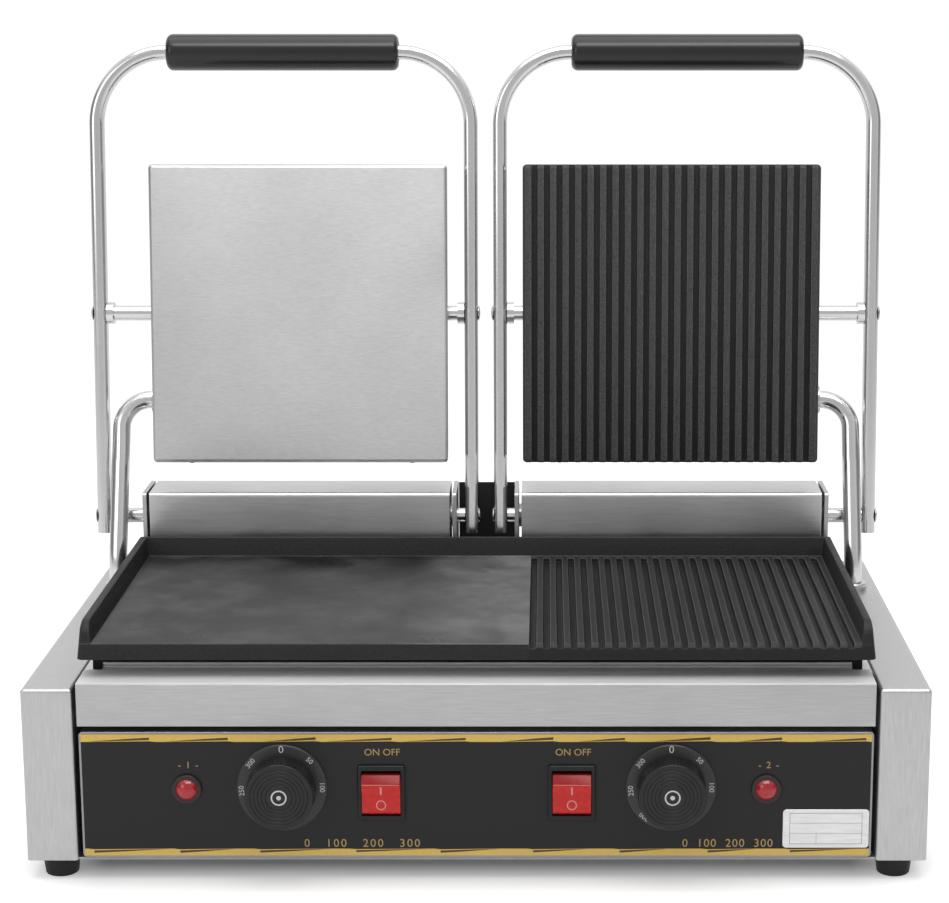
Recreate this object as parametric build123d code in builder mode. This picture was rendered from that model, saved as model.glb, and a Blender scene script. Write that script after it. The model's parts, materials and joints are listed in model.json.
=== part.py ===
"""Double contact grill: a cast lower plate on a steel base, and two hinged upper heads.

Millimetres. X to the right, Y to the back, Z up. The origin lies on the table, in the middle
of the grill's footprint. Heights that are measured from the top of the casings, and depths that
are measured from the front of the casings, are turned into places further down.
"""
import math
import os

from build123d import *

os.makedirs("parts", exist_ok=True)

# Base housing
body_width = 570.0
body_depth = 322.0
casing_height = 113.0
casing_width = 32.5
sheet = 1.5
sheet_bend = 2.5
fit_gap = 0.3
pan_lip = 10.0
pan_slot_count = 12
pan_slot_pitch = 26.0
pan_slot_length = 90.0
slot_width = 4.0

# Feet
foot_height = 13.0
foot_diameter = 24.0
foot_taper = 7.0
foot_edge = 1.5
foot_inset_x = 19.0
foot_inset_y = 15.0
foot_screw_radius = 2.5
foot_screw_head = 4.5
foot_screw_head_height = 3.0
foot_screw_sink = 6.0
foot_nut_height = 4.0

# Control panel
panel_recess = 1.0
panel_drop = 28.2
panel_gap_side = 3.0
panel_return = 14.0
panel_corner = 2.5
face_thickness = 0.4
face_border = 1.3

# Dials, knobs and thermostats
dial_x = 122.5
dial_drop = 64.5
dial_diameter = 57.0
dial_thickness = 1.6
knob_base_radius = 22.2
knob_taper = 5.0
knob_length = 19.7
knob_seat_gap = 0.5
knob_flutes = 48
knob_flute_depth = 0.8
knob_edge = 0.8
knob_wall = 2.5
knob_hub_radius = 7.0
knob_ring_radius = 15.0
knob_boss_radius = 5.0
knob_step = 0.5
spindle_radius = 3.0
spindle_grip = 12.0
spindle_tail = 14.0
running_gap = 0.06
thermostat_size = 40.0
thermostat_depth = 24.0
thermostat_neck_radius = 5.0

# Lamps
lamp_x = 182.5
lamp_drop = 65.5
lamp_bezel_radius = 9.6
lamp_bezel_proud = 2.2
lamp_barrel_radius = 7.5
lamp_barrel_length = 20.0
lamp_lens_radius = 6.5
lamp_lens_depth = 6.0
lamp_dome = 3.5
lens_fit = 0.1

# Rocker switches
switch_x = 60.0
switch_drop = 68.0
switch_bezel_width = 29.9
switch_bezel_height = 36.6
switch_bezel_proud = 2.0
switch_body_width = 27.4
switch_body_height = 33.0
switch_body_depth = 20.0
rocker_width = 24.1
rocker_play = 0.3
rocker_half_height = 14.2
rocker_crest_height = 10.3
rocker_crest = 4.5
rocker_waist = 2.2
rocker_pivot_depth = 4.0
rocker_tilt = 11.0
rocker_back = 9.0
rocker_back_height = 8.0
rocker_pin_radius = 1.2
rocker_pin_length = 0.9

# Drip tray, a drawer under the front edge of the plate
tray_side_gap = 2.5
tray_height = 28.0
tray_top = 3.9
tray_flange = 26.0
tray_shelf = 33.0
tray_notch = 11.0
tray_upstand = 6.5
tray_depth = 200.0
tray_wall = 13.0
tray_return = 20.0
runner_start = 30.0
runner_reach = 14.0
runner_height = 12.0

# Deck, and the frame that carries the lower plate
deck_start = 36.0
deck_lip = 6.0
frame_inset_front = 25.0
frame_inset_back = 2.0
frame_inset_side = 5.4
frame_wall = 2.0
frame_flange = 8.0
lead_hole_length = 30.0
lead_hole_width = 14.0
lead_hole_inset = 24.0

# Lower plate
plate_lift = 15.3
plate_start = 13.0
plate_back_margin = 80.0
plate_side_gap = 1.1
plate_thickness = 10.2
plate_corner = 4.0
plate_draft = 7.0
rim_height = 13.5
rim_back = 7.0
rim_end_radius = 11.0
rim_side = 9.4
pocket_draft = 8.0
rib_start = 33.0
rib_pitch = 8.7
groove_width = 4.7
groove_depth = 3.0
groove_angle = 76.0
rib_end_slope = 4.5

# Heating elements, clamps and insulation
element_radius = 3.25
element_seat = 0.2
element_legs = 4
lower_element_half = 88.0
lower_element_pitch = 44.0
lower_element_x = 123.0
clamp_spread = 60.0
clamp_width = 14.0
clamp_thickness = 2.0
clamp_post_radius = 3.0
insulation_thickness = 3.0

# Hinge boxes at the back
box_inner_x = 21.0
box_side_gap = 4.5
box_depth = 44.0
box_height = 69.0
box_gap = 6.5
bearing_thickness = 3.0
bearing_gap = 2.0
bush_radius = 7.0
bush_collar_radius = 8.5
shaft_radius = 5.5
pivot_height = 47.5
back_foot = 14.0

# Arms: a bent frame with a grip, its hinge shaft and its cross rod
arm_lean = 5.5
leg_inner_x = 10.5
leg_overhang = 27.0
arm_length = 335.0
arm_tail = 12.5
arm_bend = 51.0
tube_width = 10.0
tube_depth = 13.0
tube_round = 4.2
grip_radius = 13.0
grip_length = 166.0
grip_edge = 4.0
grip_fit = 0.1
collar_radius = 8.0
collar_length = 5.0
screw_head_radius = 6.5
screw_head_height = 3.0
screw_shank_radius = 3.0
screw_shank_length = 18.0
screw_fit = 0.1

# Heads
head_inner_x = 27.0
head_side_gap = 2.0
head_front_gap = 2.5
head_back_gap = 5.5
closed_gap = 0.5
smooth_thickness = 7.0
ribbed_thickness = 9.0
head_corner = 3.0
head_bevel = 2.0
head_groove_margin = 4.0
head_groove_pitch = 8.9
head_groove_width = 4.2
head_groove_depth = 3.5
cover_back = 26.0
cover_inset = 1.5
cover_round = 3.0
trunnion_width = 18.0
trunnion_height = 26.0
trunnion_depth = 9.0
trunnion_inset = 5.0
head_element_half = 52.0
head_element_pitch = 44.0
edge_screw_x = 80.0
edge_screw_radius = 4.5
edge_screw_proud = 3.0
edge_screw_inset = 5.0
edge_screw_shank = 2.0
edge_screw_reach = 5.0

# Conduits from the casing tops to the heads
conduit_radius = 6.5
conduit_from_leg = 13.5
conduit_y = 242.0
conduit_foot = 12.0
conduit_rise = 20.0
conduit_low_bend = 60.0
conduit_join_y = 284.5
conduit_join_z = 131.0
conduit_high_bend = 21.0
conduit_tail = 6.0
gland_radius = 10.0
gland_height = 5.0
gland_neck = 8.0
gland_neck_length = 4.0
gland_fit = 0.1

# Mains inlet gland at the back
inlet_from_casing = 72.5
inlet_z = 45.0
inlet_radius = 11.0
inlet_reach = 12.0
inlet_bore = 4.5
inlet_neck = 8.0

# Rear panel
vent_count = 9
vent_pitch = 12.0
vent_length = 40.0
vent_z = 70.0
rear_return = 16.0

# Terminal block
terminal_length = 70.0
terminal_depth = 22.0
terminal_height = 18.0
terminal_ways = 5
terminal_slot = 9.0
terminal_x = -100.0
terminal_y = 270.0

# Levels and places that follow from the sizes above
sides = (-1, 1)
deck_z = foot_height + casing_height
bay_half = body_width / 2 - casing_width
front = -(body_depth + inlet_reach - knob_length + panel_recess) / 2
rear = front + body_depth
foot_xs = [side * (body_width / 2 - foot_inset_x) for side in sides]
foot_ys = [front + foot_inset_y, rear - foot_inset_y]
panel_front = front + panel_recess
panel_back = panel_front + face_thickness + sheet
panel_top = deck_z - panel_drop
panel_bottom = foot_height + sheet + fit_gap
panel_half = bay_half - panel_gap_side
dial_z = deck_z - dial_drop
lamp_z = deck_z - lamp_drop
switch_z = deck_z - switch_drop
tray_top_z = deck_z + tray_top
tray_bottom_z = tray_top_z - tray_height
plate_z = deck_z + plate_lift
surface_z = plate_z + plate_thickness
plate_end = body_depth - plate_back_margin
plate_half = bay_half - plate_side_gap
pocket_half = plate_half - rim_side
groove_count = int((pocket_half - rib_start) / rib_pitch)
frame_start = plate_start + frame_inset_front
frame_end = plate_end - frame_inset_back
frame_half = plate_half - frame_inset_side
frame_mid_y = front + (frame_start + frame_end) / 2
tray_front_half = bay_half - tray_side_gap
tray_body_half = tray_front_half - tray_notch
box_outer_x = bay_half - box_side_gap
box_back_y = front + plate_end + box_gap + box_depth
pivot_y = box_back_y - box_depth / 2
pivot_z = deck_z + pivot_height
leg_outer_x = bay_half + leg_overhang
arm_x = (leg_outer_x + leg_inner_x) / 2
arm_half_width = (leg_outer_x - leg_inner_x) / 2
leg_face = arm_half_width - tube_width / 2
head_face = pivot_z - surface_z - closed_gap
head_outer_x = pocket_half - head_side_gap
head_width = head_outer_x - head_inner_x
head_mid_x = (head_outer_x + head_inner_x) / 2
head_height = plate_end - rim_back - plate_start - head_front_gap - head_back_gap
rod_height = box_depth / 2 + box_gap + rim_back + head_back_gap + head_height / 2
head_groove_count = int((head_width - 2 * head_groove_margin) / head_groove_pitch)
conduit_x = leg_outer_x - conduit_from_leg
inlet_x = inlet_from_casing - bay_half
shaft_bore = shaft_radius + running_gap


def save(piece, name):
    """Label a finished piece and write it as its own file."""
    piece.label = name
    export_step(piece, f"parts/{name}.step")
    print(name, len(piece.solids()), "solid(s)", round(piece.volume / 1000, 2), "cm3")


def facing_front(y):
    """An upright plane at this depth that looks to the front, with X to the right and Z up."""
    return Plane(origin=(0, y, 0), x_dir=(1, 0, 0), z_dir=(0, -1, 0))


def arm_plane(side, depth=0.0):
    """The plane of one arm at rest: X across, Y up along the arm, Z out of the working face."""
    lean = math.radians(arm_lean)
    pivot = (side * arm_x, pivot_y, pivot_z)
    plane = Plane(origin=pivot, x_dir=(1, 0, 0), z_dir=(0, -math.cos(lean), math.sin(lean)))
    return plane.offset(depth)


def on_arm(side, x, along, depth=0.0):
    """A point given across, along and out of one arm, as a point of the whole grill."""
    return arm_plane(side).from_local_coords(Vector(x, along, depth))


def across(point):
    """A plane through a point that looks along X, for shafts and their holes."""
    return Plane(origin=point, x_dir=(0, 1, 0), z_dir=(1, 0, 0))


# Side casings: folded sheet boxes, open below
def make_casing(side):
    mid_x = side * (bay_half + casing_width / 2)
    mid_y = front + body_depth / 2
    with BuildPart() as casing:
        with BuildSketch(Plane.XY.offset(foot_height)):
            with Locations((mid_x, mid_y)):
                Rectangle(casing_width, body_depth)
        extrude(amount=casing_height)
        folds = casing.edges().filter_by(Axis.Z) + casing.faces().sort_by(Axis.Z)[-1].edges()
        fillet(folds, radius=sheet_bend)
        offset(amount=-sheet, openings=casing.faces().sort_by(Axis.Z)[0])
        with BuildSketch(Plane.XY.offset(foot_height)):
            with Locations((side * bay_half, mid_y)):
                Rectangle(4 * sheet, body_depth - 2 * sheet)
        extrude(amount=sheet, mode=Mode.SUBTRACT)
        with BuildSketch(Plane.XY.offset(deck_z)):
            with Locations((side * conduit_x, front + conduit_y)):
                Circle(gland_neck + fit_gap)
        extrude(amount=-2 * sheet, mode=Mode.SUBTRACT)
    return casing.part


# Base pan: the bottom sheet with its cooling slots and two turned-up edges
def make_base_pan():
    half = body_width / 2 - sheet - fit_gap
    start = front + sheet + fit_gap
    end = rear - sheet - fit_gap
    bay = 2 * (bay_half - panel_gap_side)
    with BuildPart() as pan:
        with BuildSketch(Plane.XY.offset(foot_height)):
            with Locations((0, (start + end) / 2)):
                Rectangle(2 * half, end - start)
                with GridLocations(pan_slot_pitch, 0, pan_slot_count, 1):
                    SlotOverall(pan_slot_length, slot_width, rotation=90, mode=Mode.SUBTRACT)
            with Locations([(x, y) for x in foot_xs for y in foot_ys]):
                Circle(foot_screw_radius + fit_gap, mode=Mode.SUBTRACT)
        extrude(amount=sheet)
        with BuildSketch(Plane.XY.offset(foot_height + sheet)):
            with Locations((0, end - sheet / 2), (0, panel_back + panel_return + sheet)):
                Rectangle(bay, sheet)
        extrude(amount=pan_lip)
    return pan.part


# Rear panel between the casings, with vents and the hole for the mains inlet
def make_rear_panel():
    bottom = foot_height + sheet
    top = deck_z - sheet
    width = 2 * (bay_half - fit_gap)
    with BuildPart() as panel:
        with BuildSketch(facing_front(rear)):
            with Locations((0, (bottom + top) / 2)):
                Rectangle(width, top - bottom)
            with Locations((inlet_x, inlet_z)):
                Circle(inlet_neck + fit_gap, mode=Mode.SUBTRACT)
            with Locations((0, vent_z)):
                with GridLocations(vent_pitch, 0, vent_count, 1):
                    SlotOverall(vent_length, slot_width, rotation=90, mode=Mode.SUBTRACT)
        extrude(amount=sheet)
        with BuildSketch(Plane.XY.offset(top)):
            with Locations((0, rear - rear_return / 2)):
                Rectangle(width, rear_return)
        extrude(amount=-sheet)
    return panel.part


# Deck: the sheet behind the drip tray that closes the bay, its front edge folded down
def make_deck():
    start = front + deck_start
    half = bay_half - fit_gap
    under = deck_z - sheet
    with BuildPart() as deck:
        with BuildSketch(Plane.YZ.offset(-half)):
            with BuildLine():
                Polyline(
                    (start, deck_z),
                    (rear, deck_z),
                    (rear, under),
                    (start + sheet, under),
                    (start + sheet, under - deck_lip),
                    (start, under - deck_lip),
                    close=True,
                )
            make_face()
        extrude(amount=2 * half)
        with BuildSketch(Plane.XY.offset(deck_z)):
            for side in sides:
                with Locations((side * lower_element_x, front + frame_end - lead_hole_inset)):
                    SlotOverall(lead_hole_length, lead_hole_width)
        extrude(amount=-sheet, mode=Mode.SUBTRACT)
    return deck.part


# Plate frame: the low open box that holds the lower plate above the deck
def make_plate_frame():
    depth = frame_end - frame_start
    with BuildPart() as frame:
        with BuildSketch(Plane.XY.offset(deck_z)):
            with Locations((0, frame_mid_y)):
                Rectangle(2 * frame_half, depth)
                Rectangle(2 * (frame_half - frame_wall), depth - 2 * frame_wall, mode=Mode.SUBTRACT)
        extrude(amount=plate_lift - frame_wall)
        with BuildSketch(Plane.XY.offset(plate_z - frame_wall)):
            with Locations((0, frame_mid_y)):
                Rectangle(2 * frame_half, depth)
                Rectangle(2 * (frame_half - frame_flange), depth - 2 * frame_flange, mode=Mode.SUBTRACT)
        extrude(amount=frame_wall)
    return frame.part


# Lower plate: cast iron with rims on three sides, one half smooth and one half ribbed
def make_lower_plate():
    depth = plate_end - plate_start
    mid_y = front + (plate_start + plate_end) / 2
    pocket_end = front + plate_end - rim_back
    first = rib_start + groove_width / 2
    grooves = [(first + i * rib_pitch, surface_z - groove_depth / 2) for i in range(groove_count)]
    nose = front + plate_start
    draft_shift = (plate_thickness + rim_height - rim_end_radius) * math.tan(math.radians(plate_draft))
    with BuildPart() as plate:
        with BuildSketch(Plane.XY.offset(plate_z)):
            with Locations((0, mid_y)):
                RectangleRounded(2 * plate_half, depth, plate_corner)
        extrude(amount=plate_thickness + rim_height, taper=plate_draft)
        with BuildSketch(Plane.XY.offset(surface_z)):
            with Locations((0, pocket_end)):
                Rectangle(2 * pocket_half, 2 * depth, align=(Align.CENTER, Align.MAX))
        extrude(amount=rim_height, taper=-pocket_draft, mode=Mode.SUBTRACT)
        with BuildSketch(Plane.YZ):
            with Locations((nose + rim_end_radius + draft_shift, surface_z + rim_height - rim_end_radius)):
                Rectangle(3 * rim_end_radius, 2 * rim_end_radius, align=(Align.MAX, Align.MIN))
                Circle(rim_end_radius, mode=Mode.SUBTRACT)
        extrude(amount=plate_half, both=True, mode=Mode.SUBTRACT)
        with BuildSketch(facing_front(pocket_end - rib_end_slope)):
            with Locations(*grooves):
                Trapezoid(groove_width, groove_depth, groove_angle, rotation=180)
        extrude(amount=2 * depth, mode=Mode.SUBTRACT)
        with BuildSketch(Plane.YZ.offset(rib_start)):
            with BuildLine():
                Polyline(
                    (nose, surface_z - groove_depth),
                    (nose + rib_end_slope, surface_z),
                    (nose, surface_z),
                    close=True,
                )
            make_face()
        extrude(amount=rib_pitch * groove_count, mode=Mode.SUBTRACT)
    return plate.part


# Heating elements: one sheathed rod bent into a zigzag of straight legs
def make_element(plane, mid_x, mid_y, half_length, pitch):
    start = mid_y - pitch * (element_legs - 1) / 2
    with BuildPart() as element:
        with BuildLine(plane) as path:
            for i in range(element_legs):
                way = 1 if i % 2 == 0 else -1
                y = start + i * pitch
                Line((mid_x - way * half_length, y), (mid_x + way * half_length, y))
                if i < element_legs - 1:
                    turn_x = mid_x + way * half_length
                    ThreePointArc((turn_x, y), (turn_x + way * pitch / 2, y + pitch / 2), (turn_x, y + pitch))
        with BuildSketch(Plane(origin=path.line @ 0, z_dir=path.line % 0)):
            Circle(element_radius)
        sweep()
    return element.part


# Element clamps: straps on posts that hold the elements up against the plate
def make_clamps():
    strap_z = plate_z - element_seat - 2 * element_radius - fit_gap - clamp_thickness
    half = lower_element_pitch * element_legs / 2
    with BuildPart() as clamps:
        for side in sides:
            for shift in (-clamp_spread, clamp_spread):
                x = side * lower_element_x + shift
                with BuildSketch(Plane.XY.offset(strap_z)):
                    with Locations((x, frame_mid_y)):
                        SlotOverall(2 * half + clamp_width, clamp_width, rotation=90)
                extrude(amount=clamp_thickness)
                with BuildSketch(Plane.XY.offset(strap_z + clamp_thickness)):
                    with Locations((x, frame_mid_y - half), (x, frame_mid_y + half)):
                        Circle(clamp_post_radius)
                extrude(amount=plate_z - strap_z - clamp_thickness)
    return clamps.part


# Insulation: the mat between the elements and the deck
def make_insulation():
    clear = frame_wall + fit_gap
    with BuildPart() as mat:
        with BuildSketch(Plane.XY.offset(deck_z)):
            with Locations((0, frame_mid_y)):
                Rectangle(2 * (frame_half - clear), frame_end - frame_start - 2 * clear)
        extrude(amount=insulation_thickness)
    return mat.part


# Hinge boxes: folded covers over the hinge shafts, open below and at both ends
def make_hinge_box(side):
    start = box_inner_x + bearing_thickness + bearing_gap
    length = box_outer_x - box_inner_x - 2 * (bearing_thickness + bearing_gap)
    with BuildPart() as box:
        with BuildSketch(Plane.YZ.offset(side * (start + length / 2))):
            with Locations((pivot_y, deck_z)):
                Rectangle(box_depth, box_height, align=(Align.CENTER, Align.MIN))
        extrude(amount=length / 2, both=True)
        fillet(box.edges().filter_by(Axis.X).group_by(Axis.Z)[-1], radius=sheet_bend)
        ends = box.faces().sort_by(Axis.X)
        offset(amount=-sheet, openings=[ends[0], ends[-1], box.faces().sort_by(Axis.Z)[0]])
    return box.part


# Bearing plates: upright plates at both ends of each hinge box that carry its shaft
def make_bearing_plates():
    with BuildPart() as plates:
        for side in sides:
            for x in (box_inner_x, box_outer_x - bearing_thickness):
                with BuildSketch(Plane.YZ.offset(side * (x + bearing_thickness / 2))):
                    with Locations((pivot_y, deck_z)):
                        Rectangle(box_depth, box_height, align=(Align.CENTER, Align.MIN))
                    with Locations((pivot_y, pivot_z)):
                        Circle(bush_radius, mode=Mode.SUBTRACT)
                extrude(amount=bearing_thickness / 2, both=True)
        fillet(plates.edges().filter_by(Axis.X).group_by(Axis.Z)[-1], radius=sheet_bend)
    return plates.part


# Shaft bushes: flanged sleeves in the bearing plates
def make_bushes():
    with BuildPart() as bushes:
        for side in sides:
            for x, collar_x in (
                (box_inner_x, box_inner_x + bearing_thickness),
                (box_outer_x - bearing_thickness, box_outer_x - bearing_thickness - bearing_gap),
            ):
                with BuildSketch(Plane.YZ.offset(side * (x + bearing_thickness / 2))):
                    with Locations((pivot_y, pivot_z)):
                        Circle(bush_radius)
                        Circle(shaft_bore, mode=Mode.SUBTRACT)
                extrude(amount=bearing_thickness / 2, both=True)
                with BuildSketch(Plane.YZ.offset(side * (collar_x + bearing_gap / 2))):
                    with Locations((pivot_y, pivot_z)):
                        Circle(bush_collar_radius)
                        Circle(shaft_bore, mode=Mode.SUBTRACT)
                extrude(amount=bearing_gap / 2, both=True)
    return bushes.part


# Back panel of the gap between the two hinge boxes, with a foot on the deck
def make_hinge_back():
    width = 2 * (box_inner_x - fit_gap)
    with BuildPart() as back:
        with BuildSketch(Plane.YZ):
            with Locations((box_back_y, deck_z)):
                Rectangle(sheet, box_height - sheet, align=(Align.MAX, Align.MIN))
                Rectangle(back_foot, sheet, align=(Align.MAX, Align.MIN))
        extrude(amount=width / 2, both=True)
    return back.part


def panel_holes(y):
    """The holes for thermostat necks, lamps and switches, as a sketch at this depth."""
    with BuildSketch(facing_front(y)) as holes:
        with Locations((-dial_x, dial_z), (dial_x, dial_z)):
            Circle(thermostat_neck_radius + fit_gap)
        with Locations((-lamp_x, lamp_z), (lamp_x, lamp_z)):
            Circle(lamp_barrel_radius + fit_gap)
        with Locations((-switch_x, switch_z), (switch_x, switch_z)):
            Rectangle(switch_body_width + 2 * fit_gap, switch_body_height + 2 * fit_gap)
    return holes.sketch


# Control panel: a steel front folded back on all four sides
def make_control_panel():
    height = panel_top - panel_bottom
    fold_y = panel_front + face_thickness + panel_return
    holes = panel_holes(panel_back)
    with BuildPart() as panel:
        with BuildSketch(facing_front(fold_y)):
            with Locations((0, panel_bottom + height / 2)):
                RectangleRounded(2 * panel_half, height, panel_corner)
        extrude(amount=panel_return)
        offset(amount=-sheet, openings=panel.faces().sort_by(Axis.Y)[-1])
        extrude(holes, amount=2 * sheet, mode=Mode.SUBTRACT)
    return panel.part


# Face sheet: the thin black sheet on the control panel
def make_face_sheet():
    height = panel_top - panel_bottom
    holes = panel_holes(panel_front + face_thickness)
    with BuildPart() as face:
        with BuildSketch(facing_front(panel_front + face_thickness)):
            with Locations((0, panel_bottom + height / 2)):
                RectangleRounded(
                    2 * (panel_half - face_border), height - 2 * face_border, panel_corner - face_border
                )
        extrude(amount=face_thickness)
        extrude(holes, amount=2 * face_thickness, mode=Mode.SUBTRACT)
    return face.part


# Dial plates: the flat rings under the knobs that carry the scale
def make_dial_plates():
    with BuildPart() as dials:
        with BuildSketch(facing_front(panel_front)):
            with Locations((-dial_x, dial_z), (dial_x, dial_z)):
                Circle(dial_diameter / 2)
                Circle(thermostat_neck_radius + fit_gap, mode=Mode.SUBTRACT)
        extrude(amount=dial_thickness)
        rims = dials.faces().sort_by(Axis.Y)[:2].edges().filter_by(GeomType.CIRCLE)
        chamfer(rims.group_by(SortBy.LENGTH)[-1], length=dial_thickness / 3)
    return dials.part


# Knobs: fluted, slightly tapered, hollow behind, with a hub on the spindle
def make_knob(side):
    back_y = panel_front - dial_thickness - knob_seat_gap
    length = knob_length - dial_thickness - knob_seat_gap
    cap_radius = knob_base_radius - length * math.tan(math.radians(knob_taper))
    teeth = []
    for i in range(2 * knob_flutes):
        radius = knob_base_radius - (knob_flute_depth if i % 2 else 0)
        angle = math.pi * i / knob_flutes
        teeth.append((radius * math.sin(angle), radius * math.cos(angle)))
    centre = facing_front(back_y).from_local_coords(Vector(side * dial_x, dial_z, 0))
    base = Plane(origin=centre, x_dir=(1, 0, 0), z_dir=(0, -1, 0))
    cap = base.offset(length)
    with BuildPart() as knob:
        with BuildSketch(base):
            with BuildLine():
                Polyline(*teeth, close=True)
            make_face()
        extrude(amount=length, taper=knob_taper)
        with BuildSketch(cap):
            Circle(knob_base_radius)
            Circle(cap_radius - 2 * knob_flute_depth, mode=Mode.SUBTRACT)
        extrude(amount=-knob_edge, mode=Mode.SUBTRACT)
        with BuildSketch(cap):
            Circle(knob_ring_radius)
            Circle(knob_boss_radius, mode=Mode.SUBTRACT)
        extrude(amount=-knob_step, mode=Mode.SUBTRACT)
        with BuildSketch(base):
            Circle(cap_radius - knob_flute_depth - knob_wall)
            Circle(knob_hub_radius, mode=Mode.SUBTRACT)
        extrude(amount=length - knob_wall, mode=Mode.SUBTRACT)
        with BuildSketch(base):
            Circle(spindle_radius + screw_fit)
        extrude(amount=spindle_grip + fit_gap, mode=Mode.SUBTRACT)
    return knob.part


# Spindles: the thermostat shafts that the knobs sit on
def make_spindle(side):
    front_y = panel_front - dial_thickness - knob_seat_gap - spindle_grip
    with BuildPart() as spindle:
        with BuildSketch(facing_front(panel_back + spindle_tail)):
            with Locations((side * dial_x, dial_z)):
                Circle(spindle_radius)
        extrude(amount=panel_back + spindle_tail - front_y)
    return spindle.part


# Thermostats: boxes behind the panel whose necks stand in its holes
def make_thermostats():
    with BuildPart() as thermostats:
        with BuildSketch(facing_front(panel_back + thermostat_depth)):
            with Locations((-dial_x, dial_z), (dial_x, dial_z)):
                RectangleRounded(thermostat_size, thermostat_size, sheet_bend)
        extrude(amount=thermostat_depth)
        with BuildSketch(facing_front(panel_back)):
            with Locations((-dial_x, dial_z), (dial_x, dial_z)):
                Circle(thermostat_neck_radius)
        extrude(amount=panel_back - panel_front + dial_thickness)
        with BuildSketch(facing_front(panel_back + spindle_tail + fit_gap)):
            with Locations((-dial_x, dial_z), (dial_x, dial_z)):
                Circle(spindle_radius + running_gap)
        extrude(amount=thermostat_size, mode=Mode.SUBTRACT)
    return thermostats.part


# Lamp bezels: flanged barrels through the panel
def make_lamp_bezels():
    with BuildPart() as bezels:
        with BuildSketch(facing_front(panel_front)):
            with Locations((-lamp_x, lamp_z), (lamp_x, lamp_z)):
                Circle(lamp_bezel_radius)
        extrude(amount=lamp_bezel_proud)
        rims = bezels.faces().sort_by(Axis.Y)[:2].edges()
        fillet(rims, radius=lamp_bezel_proud / 2)
        with BuildSketch(facing_front(panel_front)):
            with Locations((-lamp_x, lamp_z), (lamp_x, lamp_z)):
                Circle(lamp_barrel_radius)
        extrude(amount=-lamp_barrel_length)
        with BuildSketch(facing_front(panel_front - lamp_bezel_proud)):
            with Locations((-lamp_x, lamp_z), (lamp_x, lamp_z)):
                Circle(lamp_lens_radius + lens_fit)
        extrude(amount=-lamp_lens_depth, mode=Mode.SUBTRACT)
    return bezels.part


# Lamp lenses: domed plugs in the bezels
def make_lamp_lenses():
    seat_y = panel_front - lamp_bezel_proud + lamp_lens_depth
    rise = lamp_dome
    dome_radius = (lamp_lens_radius**2 + rise**2) / (2 * rise)
    rim_y = seat_y - lamp_lens_depth
    with BuildPart() as lenses:
        for side in sides:
            axis = Axis((side * lamp_x, 0, lamp_z), (0, 1, 0))
            with BuildSketch(Plane(origin=(side * lamp_x, 0, lamp_z), x_dir=(1, 0, 0), z_dir=(0, 0, 1))):
                with BuildLine():
                    Line((0, rim_y - rise), (0, seat_y))
                    Line((0, seat_y), (lamp_lens_radius, seat_y))
                    Line((lamp_lens_radius, seat_y), (lamp_lens_radius, rim_y))
                    RadiusArc((lamp_lens_radius, rim_y), (0, rim_y - rise), dome_radius)
                make_face()
            revolve(axis=axis)
    return lenses.part


# Switch housings: bezel, hollow body and two pin sockets for the rocker
def make_switch_housings():
    bezel_y = panel_front - switch_bezel_proud
    pivot = bezel_y + rocker_pivot_depth
    inner_width = rocker_width + 2 * rocker_play
    inner_height = 2 * (rocker_half_height + rocker_play) + sheet / 2
    spots = [(-switch_x, switch_z), (switch_x, switch_z)]
    with BuildPart() as housings:
        with BuildSketch(facing_front(panel_front)):
            with Locations(*spots):
                RectangleRounded(switch_bezel_width, switch_bezel_height, sheet)
        extrude(amount=switch_bezel_proud)
        chamfer(housings.faces().sort_by(Axis.Y)[:2].edges(), length=switch_bezel_proud / 4)
        with BuildSketch(facing_front(panel_front)):
            with Locations(*spots):
                Rectangle(switch_body_width, switch_body_height)
        extrude(amount=-switch_body_depth)
        with BuildSketch(facing_front(bezel_y)):
            with Locations(*spots):
                Rectangle(inner_width, inner_height)
        extrude(amount=sheet - switch_body_depth, mode=Mode.SUBTRACT)
        for side in sides:
            with BuildSketch(across((side * switch_x, pivot, switch_z))):
                Circle(rocker_pin_radius + running_gap)
            extrude(amount=inner_width / 2 + rocker_pin_length + fit_gap, both=True, mode=Mode.SUBTRACT)
    return housings.part


# Rockers: a waisted face between two crests, on a pin; at rest the lower end is pressed in
def make_rocker(side):
    pivot = (side * switch_x, panel_front - switch_bezel_proud + rocker_pivot_depth, switch_z)
    tilt = math.radians(rocker_tilt)
    plane = Plane(origin=pivot, x_dir=(0, -math.cos(tilt), -math.sin(tilt)), z_dir=(-1, 0, 0))
    reach = rocker_pivot_depth
    with BuildPart() as rocker:
        with BuildSketch(plane):
            with BuildLine():
                Polyline(
                    (-rocker_back, -rocker_back_height),
                    (reach, -rocker_half_height),
                    (reach + rocker_crest, -rocker_crest_height),
                    (reach + rocker_waist, 0),
                    (reach + rocker_crest, rocker_crest_height),
                    (reach, rocker_half_height),
                    (-rocker_back, rocker_back_height),
                    close=True,
                )
            make_face()
        extrude(amount=rocker_width / 2, both=True)
        with BuildSketch(plane):
            Circle(rocker_pin_radius)
        extrude(amount=rocker_width / 2 + rocker_play + rocker_pin_length, both=True)
    return rocker.part


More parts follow.
